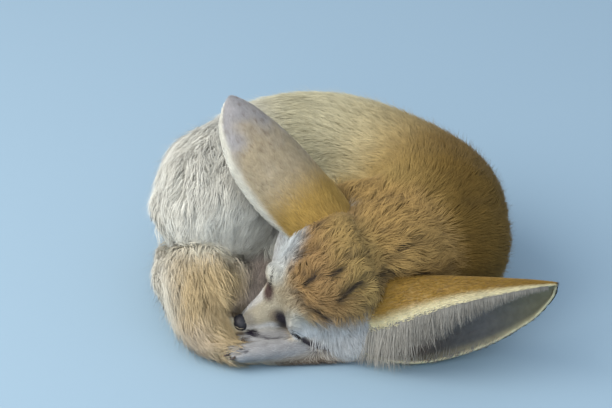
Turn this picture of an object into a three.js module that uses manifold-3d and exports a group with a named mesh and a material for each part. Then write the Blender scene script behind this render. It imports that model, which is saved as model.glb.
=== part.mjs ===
// A fennec fox asleep, curled up on its left side with its chin on its paws.
// Millimetres, +Z up. The floor is z = 0 and the nose points to -X.
import * as THREE from 'three';
import { mergeVertices } from 'three/addons/utils/BufferGeometryUtils.js';
import Module from 'manifold-3d';

const wasm = await Module();
wasm.setup();

// Driving dimensions of the fox, out to the tips of its coat
const GAP = 0.3;
const RING_X = -2;
const RING_Y = -24;
const RING_HALF_WIDTH = 67;
const RING_HALF_DEPTH = 70;
const BODY_SIDE = 44;
const BODY_HEIGHT = 96;
const HEAD_LENGTH = 92;
const HEAD_HALF_WIDTH = 38;
const EAR_BASE_RADIUS = 21;
const EAR_THICKNESS = 2.6;
const TAIL_SIDE = 29;
const PAW_HALF_WIDTH = 8.5;
const PAW_HALF_HEIGHT = 6;

// The long coat: how far out its core reaches, how thick a lock is, and how near its
// tips come to the outline, as shares of the way out
const CORE_OUT = 0.76;
const LOCK_THICKNESS = 0.12;
const COAT_LIMIT = 0.99;
const HAUNCH_CORE_OUT = 0.86;
const CHEEK_CORE_OUT = 0.86;

// Where the head lies and how it is turned
const NOSE_TIP = new THREE.Vector3(-55, -92, 13.5);
const FORWARD = new THREE.Vector3(-0.87, -0.04, -0.49).normalize();
const LEFT = new THREE.Vector3(0.375, -0.698, -0.611).normalize();
const DORSAL = new THREE.Vector3().crossVectors(FORWARD, LEFT).normalize();
LEFT.crossVectors(DORSAL, FORWARD).normalize();
const BACKWARD = FORWARD.clone().negate();

const BODY_MIDDLE = BODY_HEIGHT / 2;
const UP = new THREE.Vector3(0, 0, 1);

function point(x, y, z) {
  return new THREE.Vector3(x, y, z);
}

// A point of the head: back from the nose tip, to its left side and above its axis
function headPoint(back, left, above) {
  return NOSE_TIP.clone()
    .addScaledVector(FORWARD, -back)
    .addScaledVector(LEFT, left)
    .addScaledVector(DORSAL, above);
}

function headDirection(back, left, above) {
  return headPoint(back, left, above).sub(NOSE_TIP).normalize();
}

function toSolid(geometry) {
  const bare = geometry.clone();
  bare.deleteAttribute('normal');
  bare.deleteAttribute('uv');
  const merged = mergeVertices(bare, 1e-4);
  const mesh = new wasm.Mesh({
    numProp: 3,
    vertProperties: new Float32Array(merged.attributes.position.array),
    triVerts: new Uint32Array(merged.index.array),
  });
  return new wasm.Manifold(mesh);
}

// Only the largest closed surface of a solid is kept
function largestBody(solid) {
  const bodies = solid.decompose();
  bodies.sort((first, second) => second.volume() - first.volume());
  return bodies[0];
}

function toGeometry(solid) {
  const mesh = solid.getMesh();
  const geometry = new THREE.BufferGeometry();
  geometry.setAttribute('position', new THREE.BufferAttribute(mesh.vertProperties, 3));
  geometry.setIndex(new THREE.BufferAttribute(mesh.triVerts, 1));
  geometry.computeVertexNormals();
  return geometry;
}

// A rounded length of the body is a row of stations. Each gives its middle and its
// half width, height above and depth below.
function limbCurves(stations) {
  return {
    spine: new THREE.CatmullRomCurve3(stations.map((station) => station.at)),
    sizes: new THREE.CatmullRomCurve3(stations.map((station) => point(...station.size))),
  };
}

// The place on a limb at a share of its length, an angle round it and a share of the
// way out from its spine
function limbPlace({ spine, sizes }, up, share, angle, outShare, grow = 0, lift = 0) {
  const along = THREE.MathUtils.clamp(share, 0, 1);
  const place = spine.getPoint(along);
  const size = sizes.getPoint(along);
  const tangent = spine.getTangent(THREE.MathUtils.clamp(along, 0.001, 0.999));
  const side = new THREE.Vector3().crossVectors(tangent, up).normalize();
  const top = new THREE.Vector3().crossVectors(side, tangent).normalize();
  const height = Math.sin(angle) > 0 ? size.y : size.z;
  place.addScaledVector(side, Math.cos(angle) * outShare * (size.x + grow));
  place.addScaledVector(top, Math.sin(angle) * outShare * (height + grow));
  return place.addScaledVector(tangent, lift * grow);
}

// A limb's ends are rounded over the shares in `caps`. This is how much of its full
// girth a limb has at a share of its length. `girth` can thin it further, by one
// share or by a function of the place along it.
const CAP_REACH = 0.6;

function capRoundness(share, caps) {
  const fromEnds = [share / (caps[0] * CAP_REACH), (1 - share) / (caps[1] * CAP_REACH)];
  const nearest = THREE.MathUtils.clamp(Math.min(...fromEnds), 0, 1);
  return Math.sqrt(1 - (1 - nearest) ** 2);
}

function limb({ stations, up = UP, around = 18, along = 18, caps = [0.25, 0.25], grow = 0, girth = 1 }) {
  const curves = limbCurves(stations);
  const geometry = new THREE.SphereGeometry(1, around, along);
  const places = geometry.attributes.position;
  const reach = caps.map((cap) => cap * CAP_REACH);
  for (let index = 0; index < places.count; index += 1) {
    const pole = THREE.MathUtils.clamp(places.getY(index), -1, 1);
    const row = Math.acos(pole) / Math.PI;
    const angle = Math.atan2(places.getZ(index), places.getX(index));
    let share = THREE.MathUtils.mapLinear(row, caps[0], 1 - caps[1], reach[0], 1 - reach[1]);
    let lift = 0;
    if (row < caps[0]) {
      const turn = (row / caps[0]) * (Math.PI / 2);
      share = reach[0] * (1 - Math.cos(turn));
      lift = -Math.cos(turn);
    } else if (row > 1 - caps[1]) {
      const turn = ((1 - row) / caps[1]) * (Math.PI / 2);
      share = 1 - reach[1] * (1 - Math.cos(turn));
      lift = Math.cos(turn);
    }
    const out = capRoundness(share, caps) * (girth instanceof Function ? girth(share) : girth);
    const place = limbPlace(curves, up, share, angle, out, grow, lift);
    places.setXYZ(index, place.x, place.y, place.z);
  }
  return outward(toSolid(geometry), geometry);
}

// A lock of long hair on a limb: flat, four-sided and tapered, rooted in the core and
// bent over so that its outer half lies along the coat. `from` and `to` are shares of
// the limb's length, and `rootOut` and `tipOut` shares of the way out from its spine.
function limbLock({ stations, up = UP, caps }, { from, to, angle, twist, width, rootOut, tipOut }) {
  const curves = limbCurves(stations);
  const geometry = new THREE.CylinderGeometry(0, 1, 1, 4, 3);
  const places = geometry.attributes.position;
  for (let index = 0; index < places.count; index += 1) {
    const run = places.getY(index) + 0.5;
    const full = 1 / Math.sqrt(Math.max(1 - run, 0.02));
    const share = THREE.MathUtils.lerp(from, to, run);
    const turn = angle + twist * run + places.getX(index) * full * width;
    const rise = Math.sin(Math.min(run * 1.2, 1) * Math.PI / 2);
    const middle = THREE.MathUtils.lerp(rootOut, tipOut, rise);
    const out = Math.min(middle + places.getZ(index) * full * LOCK_THICKNESS, COAT_LIMIT);
    const place = limbPlace(curves, up, share, turn, out * capRoundness(share, caps));
    places.setXYZ(index, place.x, place.y, place.z);
  }
  return outward(toSolid(geometry), geometry);
}

// Rows of locks cover a limb between two shares of its length and two angles round it.
// Each row starts before the tips of the last, and the locks of one lie in the gaps of
// the next.
function lockRows(form, { rows, start, end, length, angles, count, rootOut, random }) {
  const locks = [];
  const step = (angles[1] - angles[0]) / count;
  for (let row = 0; row < rows; row += 1) {
    const from = THREE.MathUtils.lerp(start, end, rows > 1 ? row / (rows - 1) : 0);
    for (let index = 0; index < count; index += 1) {
      const jitter = (random() - 0.5) * 0.5;
      const lead = from + (random() - 0.5) * length * 0.3;
      const angle = angles[0] + step * (index + (row % 2 ? 0.75 : 0.25) + jitter);
      locks.push(limbLock(form, {
        from: Math.max(lead, 0.01),
        to: Math.min(lead + length * (0.85 + random() * 0.3), 0.985),
        angle,
        twist: (random() - 0.5) * step * 0.6,
        width: step * (0.52 + random() * 0.16),
        rootOut,
        tipOut: 0.97,
      }));
    }
  }
  return locks;
}

// Evenly spread numbers from 0 to 1 that are the same each time
function seededRandom(seed) {
  let state = seed;
  return () => {
    state = (state * 1664525 + 1013904223) % 4294967296;
    return state / 4294967296;
  };
}

// A closed mesh whose faces point in is turned inside out
function outward(solid, geometry) {
  if (solid.volume() > 0) {
    return solid;
  }
  const turned = geometry.clone();
  const order = Array.from(turned.index.array);
  for (let index = 0; index < order.length; index += 3) {
    const kept = order[index];
    order[index] = order[index + 1];
    order[index + 1] = kept;
  }
  turned.setIndex(order);
  return toSolid(turned);
}

// A smooth lump with its own three directions
function lump(centre, radii, axes, around = 16, along = 12, grow = 0) {
  const geometry = new THREE.SphereGeometry(1, around, along);
  const basis = new THREE.Matrix4().makeBasis(...axes);
  const stretch = new THREE.Matrix4().makeScale(...radii.map((radius) => radius + grow));
  geometry.applyMatrix4(basis.multiply(stretch).setPosition(centre));
  return outward(toSolid(geometry), geometry);
}

const WORLD_AXES = [point(1, 0, 0), point(0, 1, 0), point(0, 0, 1)];
const HEAD_AXES = [FORWARD, LEFT, DORSAL];

function union(solids) {
  return solids.reduce((whole, solid) => whole.add(solid));
}

// All that lies beyond a plane, on the side that its normal points to
function beyond(place, normal) {
  const size = 600;
  const geometry = new THREE.BoxGeometry(size, size, size);
  geometry.translate(0, 0, size / 2);
  const turn = new THREE.Quaternion().setFromUnitVectors(UP, normal);
  geometry.applyQuaternion(turn);
  geometry.translate(place.x, place.y, place.z);
  return toSolid(geometry);
}

const floorGeometry = new THREE.BoxGeometry(900, 900, 200);
floorGeometry.translate(0, 0, -100);
const floor = toSolid(floorGeometry);

// A cheek with its ruff, from under the eye back to the ear
function cheek(side) {
  return {
    stations: [
      { at: headPoint(27, side * 9, -6), size: [10, 9, 10] },
      { at: headPoint(44, side * 20, -9), size: [18, 17, 17] },
      { at: headPoint(60, side * 27, -12), size: [24, 22, 23] },
      { at: headPoint(80, side * 29, -12), size: [23, 20, 21] },
    ],
    up: DORSAL,
    around: 12,
    along: 8,
    caps: [0.3, 0.3],
  };
}

function cheekLocks(side, random) {
  const outward = side > 0 ? 0 : Math.PI;
  return lockRows(cheek(side), {
    rows: 2,
    start: 0.2,
    end: 0.48,
    length: 0.42,
    angles: [outward - side * 1.7, outward + side * 0.7],
    count: 3,
    rootOut: CHEEK_CORE_OUT - 0.06,
    random,
  });
}

// Head: skull and muzzle, cheeks, brows and lower jaw
function headForm(grow, cheekGirth = 1) {
  const width = HEAD_HALF_WIDTH;
  const skull = limb({
    stations: [
      { at: headPoint(1.5, 0, 0), size: [5.5, 5, 5.5] },
      { at: headPoint(10, 0, 0), size: [8.5, 7, 8] },
      { at: headPoint(22, 0, 0), size: [12, 10, 11] },
      { at: headPoint(34, 0, 0), size: [21, 18, 17] },
      { at: headPoint(48, 0, 0), size: [width - 8, 26, 23] },
      { at: headPoint(64, 0, 0), size: [width - 2, 31, 27] },
      { at: headPoint(80, 0, 0), size: [width - 3, 30, 28] },
      { at: headPoint(HEAD_LENGTH, 0, -2), size: [width - 8, 26, 26] },
      { at: headPoint(HEAD_LENGTH + 14, 0, -4), size: [width - 12, 22, 24] },
    ],
    up: DORSAL,
    around: 18,
    along: 16,
    caps: [0.16, 0.2],
    grow,
  });
  const cheeks = [1, -1].map((side) => limb({ ...cheek(side), girth: cheekGirth, grow }));
  const brows = [1, -1].map((side) => lump(
    headPoint(41, side * 12.5, 13.5), [10, 8, 7.5], HEAD_AXES, 8, 6, grow,
  ));
  const jaw = lump(headPoint(20, 0, -7), [19, 8.5, 7], HEAD_AXES, 10, 6, grow);
  return union([skull, ...cheeks, ...brows, jaw]).subtract(
    beyond(headPoint(HEAD_LENGTH + grow, 0, 0), BACKWARD),
  );
}

// The nose pad caps the muzzle, with a nostril to each side
function nosePadForm(grow) {
  return lump(headPoint(2.2, 0, 1.8), [4.6, 5, 4], HEAD_AXES, 12, 8, grow);
}

function nostril(side) {
  return lump(headPoint(-1.2, side * 2.6, 1.6), [2.2, 1.1, 0.8], HEAD_AXES, 8, 6);
}

// A closed eye: two lids over the eyeball, which meet in a slit. `along` is the way that
// the slit runs and `out` the way that the lids bulge.
const LIDS = {
  left: {
    centre: headPoint(33, 21, 8),
    along: headDirection(0.17, 0.46, -0.87),
    out: headDirection(-0.1, 0.85, 0.5),
  },
  right: {
    centre: headPoint(34.5, -14, 14.5),
    along: headDirection(0.39, -0.92, 0.1),
    out: headDirection(-0.1, -0.15, 1),
  },
};

function lidAxes(name) {
  const { along } = LIDS[name];
  const out = LIDS[name].out.clone();
  out.addScaledVector(along, -out.dot(along)).normalize();
  const across = new THREE.Vector3().crossVectors(out, along).normalize();
  return [along, across, out];
}

function lidForm(name, grow) {
  return lump(LIDS[name].centre, [9, 5.2, 4.2], lidAxes(name), 12, 8, grow);
}

function lidSlit(name) {
  const [along, across, out] = lidAxes(name);
  const middle = LIDS[name].centre.clone().addScaledVector(out, 4.4);
  return lump(middle, [9.5, 0.5, 1.2], [along, across, out], 8, 6);
}

// The line of the mouth runs under each side of the muzzle
function mouthLine() {
  return lump(headPoint(19, 0, -4.6), [20, 13.5, 0.55], HEAD_AXES, 16, 6)
    .subtract(lump(headPoint(20, 0, -3), [17.5, 8.6, 9], HEAD_AXES, 12, 8));
}

// An ear is a curled leaf of skin and short fur. Its base is nearly a closed tube and
// it opens towards the tip. `row` runs from the root, which lies inside the head, to
// the tip, and `column` from the hind margin to the fore margin.
const EAR_RADII = [0.84, 0.95, 1.02, 1.06, 1.04, 0.94, 0.7, 0.12];
const EAR_BENDS = [2.5, 2.3, 1.95, 1.65, 1.42, 1.28, 1.15, 1];
const EAR_MOST_BEND = 2.9;

function blendStations(stations, share) {
  const place = THREE.MathUtils.clamp(share, 0, 1) * (stations.length - 1);
  const index = Math.min(Math.floor(place), stations.length - 2);
  return THREE.MathUtils.lerp(stations[index], stations[index + 1], place - index);
}

function earPlace(ear, column, row, lining) {
  const across = new THREE.Vector3().crossVectors(ear.along, ear.opening).normalize();
  const half = column > 0.5 ? ear.fore : ear.hind;
  const arc = EAR_BASE_RADIUS * blendStations(EAR_RADII, row) * blendStations(EAR_BENDS, row);
  const bend = blendStations(EAR_BENDS, row) * half.curl;
  const radius = (arc * THREE.MathUtils.lerp(half.width, half.tipWidth, row)) / bend;
  const turn = (column * 2 - 1) * Math.min(bend, EAR_MOST_BEND);
  const thin = THREE.MathUtils.lerp(EAR_THICKNESS, 1.2, row);
  const depth = lining ? radius - thin : radius;
  const place = ear.root.clone();
  place.addScaledVector(ear.along, ear.length * row);
  place.addScaledVector(across, depth * Math.sin(turn));
  const bow = ear.bow * Math.sin(Math.PI * row);
  place.addScaledVector(ear.opening, radius - depth * Math.cos(turn) + bow);
  return place;
}

// A sheet with two faces split into triangles alike and a rim that joins them
function doubleSheet(columns, rows, placeAt) {
  const plane = new THREE.PlaneGeometry(1, 1, columns, rows);
  const count = plane.attributes.position.count;
  const faces = Array.from(plane.index.array);
  const corners = new Float32Array(count * 2 * 3);
  for (let index = 0; index < count; index += 1) {
    const column = plane.attributes.position.getX(index) + 0.5;
    const row = plane.attributes.position.getY(index) + 0.5;
    placeAt(column, row, false).toArray(corners, index * 3);
    placeAt(column, row, true).toArray(corners, (index + count) * 3);
  }
  const order = [...faces];
  for (let index = 0; index < faces.length; index += 3) {
    order.push(faces[index + 1] + count, faces[index] + count, faces[index + 2] + count);
  }
  const rim = [];
  const stride = columns + 1;
  for (let column = 0; column < columns; column += 1) {
    rim.push([column + 1, column]);
    rim.push([rows * stride + column, rows * stride + column + 1]);
  }
  for (let row = 0; row < rows; row += 1) {
    rim.push([row * stride, (row + 1) * stride]);
    rim.push([(row + 1) * stride + columns, row * stride + columns]);
  }
  for (const [from, to] of rim) {
    order.push(to, from, from + count, to, from + count, to + count);
  }
  const geometry = new THREE.BufferGeometry();
  geometry.setAttribute('position', new THREE.BufferAttribute(corners, 3));
  geometry.setIndex(order);
  return geometry;
}

function earForm(ear) {
  const geometry = doubleSheet(8, 12, (column, row, lining) => earPlace(ear, column, row, lining));
  return outward(toSolid(geometry), geometry);
}

// The room that an ear takes up, with its cup filled
function earRoom(ear) {
  const geometry = doubleSheet(8, 12, (column, row, lining) => {
    const back = earPlace(ear, column, row, false);
    if (!lining) {
      const middle = earPlace(ear, 0.5, row, false);
      const out = back.clone().sub(middle).addScaledVector(ear.opening, -8).normalize();
      return back.addScaledVector(out, GAP * 2);
    }
    const first = earPlace(ear, 0, row, false);
    const last = earPlace(ear, 1, row, false);
    return first.lerp(last, column).addScaledVector(ear.opening, 1);
  });
  return outward(toSolid(geometry), geometry);
}

function makeEar({ root, tip, opening, fore, hind, bow }) {
  const along = tip.clone().sub(root).normalize();
  const facing = opening.clone().addScaledVector(along, -opening.dot(along)).normalize();
  return { root, along, length: root.distanceTo(tip), opening: facing, fore, hind, bow };
}

// The right ear stands up with its back to the front. The left ear lies along the
// floor with its cup to the front and its upper margin rolled over the cup.
const rightEar = makeEar({
  root: headPoint(84, -20, 6),
  tip: point(-60, -35, 136),
  opening: point(-0.62, 0.62, -0.1),
  fore: { curl: 1, width: 0.8, tipWidth: 1.42 },
  hind: { curl: 1, width: 1, tipWidth: 1 },
  bow: -3,
});
const leftEar = makeEar({
  root: point(10, -75, 36),
  tip: point(131, -110.5, 52),
  opening: point(-0.03, -1, -0.5),
  fore: { curl: 1.27, width: 1.56, tipWidth: 1.56 },
  hind: { curl: 1.36, width: 1.29, tipWidth: 1.29 },
  bow: 0.95,
});

// Forelegs lie folded under the throat with the paws in front of the chest
function forelegForm(side, grow) {
  const lift = side === 'right' ? 0 : 1;
  return limb({
    stations: [
      { at: point(38, -58 + lift * 4, 18), size: [13, 13, 12] },
      { at: point(16, -72 - lift * 6, 14), size: [11, 10, 10] },
      { at: point(-6, -90 - lift * 8, 12), size: [9.5, 8.5, 9] },
      { at: point(-20, -97 - lift * 14, 10), size: [7.5, 6.5, 6.5] },
    ],
    around: 10,
    along: 8,
    grow,
  });
}

function forepawForm(side, grow) {
  const toes = side === 'right' ? point(-54, -102, 7) : point(-55, -117, 9.5);
  const wrist = side === 'right' ? point(-6, -92, 9) : point(-2, -108, 9);
  const middle = wrist.clone().lerp(toes, 0.7);
  const knuckles = wrist.clone().lerp(toes, 0.88);
  const paw = limb({
    stations: [
      { at: wrist, size: [PAW_HALF_WIDTH - 1.5, PAW_HALF_HEIGHT, PAW_HALF_HEIGHT] },
      { at: middle, size: [PAW_HALF_WIDTH, PAW_HALF_HEIGHT + 1, PAW_HALF_HEIGHT] },
      { at: knuckles, size: [PAW_HALF_WIDTH, PAW_HALF_HEIGHT, PAW_HALF_HEIGHT] },
      { at: toes, size: [PAW_HALF_WIDTH - 1.5, PAW_HALF_HEIGHT - 1, PAW_HALF_HEIGHT - 1] },
    ],
    around: 10,
    along: 7,
    grow,
  });
  const forward = toes.clone().sub(wrist).normalize();
  const across = new THREE.Vector3().crossVectors(UP, forward).normalize();
  const axes = [forward, across, new THREE.Vector3().crossVectors(forward, across)];
  const toePads = [-1.5, -0.5, 0.5, 1.5].map((step) => {
    const back = Math.abs(step) > 1 ? -3 : 0;
    const centre = toes.clone().addScaledVector(across, step * 4.3);
    centre.addScaledVector(forward, 1.5 + back);
    return lump(centre, [6, 2.7, 4.6], axes, 8, 5, grow);
  });
  return union([paw, ...toePads]);
}

// The tail comes out under the haunch and wraps round the front, under the paws
const TAIL_STATIONS = [
  { at: point(-72, -2, 34), size: [TAIL_SIDE - 5, 24, 24] },
  { at: point(-79, -22, 32), size: [TAIL_SIDE, 27, 28] },
  { at: point(-81, -44, 28), size: [TAIL_SIDE, 27, 27] },
  { at: point(-78, -68, 24), size: [TAIL_SIDE - 1, 24, 25] },
  { at: point(-74, -90, 16), size: [TAIL_SIDE - 11, 16, 18] },
  { at: point(-61, -107, 8), size: [14, 8, 10] },
  { at: point(-30, -111, 4.5), size: [12, 5.5, 8] },
  { at: point(0, -111, 3.5), size: [9, 4.5, 6] },
  { at: point(20, -109, 3), size: [6, 3.5, 5] },
];

const TAIL = { stations: TAIL_STATIONS, around: 12, along: 20, caps: [0.12, 0.12] };

function tailForm(grow, girth = 1) {
  return limb({ ...TAIL, grow, girth });
}

function tailLocks(random) {
  return lockRows(TAIL, {
    rows: 4,
    start: 0.13,
    end: 0.5,
    length: 0.25,
    angles: [-0.5, Math.PI + 0.6],
    count: 5,
    rootOut: CORE_OUT - 0.06,
    random,
  });
}

// Neck and hind legs
function neckForm(grow) {
  const nape = limb({
    stations: [
      { at: point(12, -88, 50), size: [24, 22, 26] },
      { at: point(27, -77, 52), size: [34, 30, 34] },
      { at: point(43, -62, 49), size: [37, 36, 42] },
      { at: point(60, -45, 44), size: [28, 28, 32] },
    ],
    around: 14,
    along: 9,
    caps: [0.3, 0.3],
    grow,
  });
  const ruff = lump(point(20, -46, 52), [36, 30, 32], WORLD_AXES, 12, 9, grow);
  return union([nape, ruff]);
}

const RIGHT_THIGH = {
  stations: [
    { at: point(-55, 26, 46), size: [24, 32, 24] },
    { at: point(-64, 2, 51), size: [45, 45, 32] },
    { at: point(-65, -26, 50), size: [43, 40, 30] },
    { at: point(-57, -50, 42), size: [29, 27, 24] },
  ],
  around: 16,
  along: 14,
  caps: [0.3, 0.3],
};
const LEFT_THIGH = {
  stations: [
    { at: point(-28, 6, 24), size: [22, 24, 24] },
    { at: point(-24, -18, 26), size: [24, 26, 26] },
    { at: point(-22, -44, 22), size: [20, 20, 22] },
  ],
  around: 10,
  along: 8,
  caps: [0.3, 0.3],
};

function haunchGirth(share) {
  return THREE.MathUtils.lerp(1, HAUNCH_CORE_OUT, THREE.MathUtils.smoothstep(share, 0.25, 0.5));
}

// The long hair of the haunch hangs over the root of the tail
function haunchLocks(random) {
  return lockRows(RIGHT_THIGH, {
    rows: 2,
    start: 0.4,
    end: 0.6,
    length: 0.36,
    angles: [0.1, Math.PI + 0.2],
    count: 6,
    rootOut: HAUNCH_CORE_OUT - 0.06,
    random,
  });
}

function hindPawForm(side, grow) {
  const right = side === 'right';
  const hock = right ? point(-42, -30, 27) : point(-4, -46, 12);
  const toes = right ? point(-47, -79, 15) : point(-14, -76, 9);
  return limb({
    stations: [
      { at: hock, size: [12, 11, 11] },
      { at: hock.clone().lerp(toes, 0.5), size: [9.5, 9, 9.5] },
      { at: toes, size: [9.5, 8, 9] },
    ],
    around: 12,
    along: 12,
    caps: [0.3, 0.3],
    grow,
  });
}

// The trunk is a ring that runs from the rump on the left round the back to the chest
function ringPoint(degrees) {
  const angle = THREE.MathUtils.degToRad(degrees);
  return point(
    RING_X + RING_HALF_WIDTH * Math.cos(angle),
    RING_Y + RING_HALF_DEPTH * Math.sin(angle),
    BODY_MIDDLE,
  );
}

function trunkForm() {
  const stations = [];
  for (let degrees = -30; degrees <= 200; degrees += 23) {
    const rump = THREE.MathUtils.smoothstep(degrees, 110, 190) * 9;
    const waist = Math.exp(-(((degrees - 42) / 34) ** 2)) * 8;
    stations.push({
      at: ringPoint(degrees),
      size: [BODY_SIDE - rump * 0.8 - waist, BODY_MIDDLE - rump - waist, BODY_MIDDLE + 1],
    });
  }
  const ring = limb({ stations, around: 18, along: 22, caps: [0.14, 0.14] });
  const shoulder = lump(point(57, -42, 43), [51, 44, 47], WORLD_AXES, 16, 12);
  const belly = lump(point(2, -16, 30), [42, 40, 40], WORLD_AXES, 12, 8);
  const underside = lump(point(-2, -20, 16), [54, 56, 24], WORLD_AXES, 12, 6);
  return union([ring, shoulder, belly, underside]);
}

// A tall wedge seen from above that holds one length of the trunk
function wedge(from, to) {
  const middle = new THREE.Vector2(RING_X, RING_Y);
  const reach = 260;
  const outline = [middle];
  const steps = 3;
  for (let step = 0; step <= steps; step += 1) {
    const angle = THREE.MathUtils.degToRad(THREE.MathUtils.lerp(from, to, step / steps));
    outline.push(new THREE.Vector2(
      RING_X + reach * Math.cos(angle),
      RING_Y + reach * Math.sin(angle),
    ));
  }
  const middleTurn = THREE.MathUtils.degToRad((from + to) / 2);
  const geometry = new THREE.ExtrudeGeometry(new THREE.Shape(outline), {
    depth: 300,
    bevelEnabled: false,
  });
  const inset = GAP * 0.6 / Math.sin(THREE.MathUtils.degToRad((to - from) / 2));
  geometry.translate(inset * Math.cos(middleTurn), inset * Math.sin(middleTurn), -50);
  return toSolid(geometry);
}

// Finishes, one colour for each part of the coat
const COLOURS = {
  crown: 0xc9a06a,
  cream: 0xe0d2b6,
  flank: 0xc7a470,
  haunch: 0xd9cfba,
  tail: 0xb89468,
  paw: 0xe4ddd0,
  ear: 0xd0ae82,
  nose: 0x23222b,
  lid: 0x8a6238,
};

const fox = new THREE.Group();

function addNode(name, solid, colour, roughness = 0.9) {
  const material = new THREE.MeshStandardMaterial({ color: colour, roughness, metalness: 0 });
  const cut = largestBody(solid.subtract(floor));
  const mesh = new THREE.Mesh(toGeometry(cut), material);
  mesh.name = name;
  fox.add(mesh);
}

const padRoom = nosePadForm(GAP);
const lidsRoom = union([lidForm('left', GAP), lidForm('right', GAP)]);
const headRoom = union([headForm(GAP), padRoom, lidsRoom]);
const leftEarRoom = earRoom(leftEar);
const rightEarRoom = earRoom(rightEar);

addNode('nose_pad', nosePadForm(0).subtract(nostril(1)).subtract(nostril(-1)), COLOURS.nose, 0.5);
for (const name of ['left', 'right']) {
  addNode(`eyelids_${name}`, lidForm(name, 0).subtract(lidSlit(name)), COLOURS.lid);
}
const random = seededRandom(11);
const head = union([headForm(0, CHEEK_CORE_OUT), ...cheekLocks(1, random), ...cheekLocks(-1, random)])
  .intersect(headForm(0))
  .subtract(padRoom)
  .subtract(lidsRoom)
  .subtract(mouthLine());
addNode('head', head, COLOURS.crown);
addNode('ear_left', earForm(leftEar).subtract(headRoom), COLOURS.ear);
addNode('ear_right', earForm(rightEar).subtract(headRoom), COLOURS.ear);

// Each part is cut clear of all that comes before it in this list
let taken = union([headRoom, leftEarRoom, rightEarRoom]);
function addClear(name, solid, room, colour) {
  addNode(name, solid.subtract(taken), colour);
  taken = taken.add(room);
}

for (const name of ['left', 'right']) {
  addClear(`forepaw_${name}`, forepawForm(name, 0), forepawForm(name, GAP), COLOURS.paw);
}
for (const name of ['left', 'right']) {
  addClear(`foreleg_${name}`, forelegForm(name, 0), forelegForm(name, GAP), COLOURS.cream);
}
for (const name of ['left', 'right']) {
  addClear(`hind_paw_${name}`, hindPawForm(name, 0), hindPawForm(name, GAP), COLOURS.paw);
}
const haunch = union([limb({ ...RIGHT_THIGH, girth: haunchGirth }), ...haunchLocks(random)])
  .intersect(limb(RIGHT_THIGH));
addClear('hind_leg_right', haunch, limb({ ...RIGHT_THIGH, grow: GAP }), COLOURS.haunch);

// The tail is parted into three lengths by upright cuts
const tail = union([tailForm(0, CORE_OUT), ...tailLocks(random)]).subtract(taken);
const tailCuts = [
  { name: 'tail_base', from: 150, to: 205 },
  { name: 'tail_middle', from: 205, to: 240 },
  { name: 'tail_tip', from: 240, to: 300 },
];
for (const { name, from, to } of tailCuts) {
  addNode(name, tail.intersect(wedge(from, to)), COLOURS.tail);
}
taken = taken.add(tailForm(GAP));
addClear('neck', neckForm(0), neckForm(GAP), COLOURS.flank);
addClear('hind_leg_left', limb(LEFT_THIGH), limb({ ...LEFT_THIGH, grow: GAP }), COLOURS.cream);

const trunk = trunkForm().subtract(taken);
const trunkLengths = [
  { name: 'torso_shoulders', from: -110, to: 28, colour: COLOURS.flank },
  { name: 'torso_ribs', from: 28, to: 92, colour: COLOURS.cream },
  { name: 'torso_loin', from: 92, to: 150, colour: COLOURS.cream },
  { name: 'torso_rump', from: 150, to: 215, colour: COLOURS.haunch },
];
for (const { name, from, to, colour } of trunkLengths) {
  addNode(name, trunk.intersect(wedge(from, to)), colour);
}

// The origin is the middle of the fox's box, on the floor
const box = new THREE.Box3().setFromObject(fox);
const middle = box.getCenter(point(0, 0, 0));
fox.position.set(-middle.x, -middle.y, -box.min.z);

export default fox;
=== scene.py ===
# %% [markdown]
# # A fennec fox asleep
# The fox lies curled up on its left side with its chin on its forepaws. One huge ear
# stands up and the other lies along the floor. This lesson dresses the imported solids
# with one skin, thousands of small tufts of fur, thin ears, closed lids and a nose.
# Sizes are written in millimetres and turned to Blender's metres where a mesh is made.

# %% The frame
import math
import bmesh
import bpy
import numpy as np
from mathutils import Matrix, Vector, noise
from mathutils.bvhtree import BVHTree
from mathutils.kdtree import KDTree


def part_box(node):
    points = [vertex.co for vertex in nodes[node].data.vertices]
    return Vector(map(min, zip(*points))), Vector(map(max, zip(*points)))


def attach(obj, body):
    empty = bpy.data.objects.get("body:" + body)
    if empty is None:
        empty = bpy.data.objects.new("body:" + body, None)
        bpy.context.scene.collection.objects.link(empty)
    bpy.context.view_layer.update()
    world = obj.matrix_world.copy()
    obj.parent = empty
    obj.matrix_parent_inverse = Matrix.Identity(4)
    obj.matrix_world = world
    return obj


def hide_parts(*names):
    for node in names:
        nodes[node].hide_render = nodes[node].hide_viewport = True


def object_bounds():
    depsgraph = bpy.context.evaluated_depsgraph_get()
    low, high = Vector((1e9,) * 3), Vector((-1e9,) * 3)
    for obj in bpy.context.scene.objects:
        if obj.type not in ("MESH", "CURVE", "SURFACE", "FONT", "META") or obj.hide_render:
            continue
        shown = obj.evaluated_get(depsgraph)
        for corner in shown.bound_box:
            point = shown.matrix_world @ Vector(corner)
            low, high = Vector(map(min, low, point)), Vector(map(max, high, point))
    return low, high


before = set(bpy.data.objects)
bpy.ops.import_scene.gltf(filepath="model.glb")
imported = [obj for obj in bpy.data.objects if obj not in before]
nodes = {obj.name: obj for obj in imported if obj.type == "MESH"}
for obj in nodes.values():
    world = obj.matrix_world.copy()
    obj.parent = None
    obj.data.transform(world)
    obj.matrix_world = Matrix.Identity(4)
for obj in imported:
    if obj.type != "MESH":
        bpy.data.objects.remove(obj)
cad_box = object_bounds()
MM = 0.001
print("nodes", len(nodes), "size in mm", [round(v / MM) for v in cad_box[1] - cad_box[0]])

# %% [markdown]
# ## The fox's own directions
# The solids are centred on the floor, but the pose is easier to write from fixed
# places, so the nose pad tells how far the whole fox was shifted. The head is tilted,
# so it has its own three directions: forward to the nose, left, and up out of its
# crown. Every mark of the face is written as millimetres back, left and above.

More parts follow.
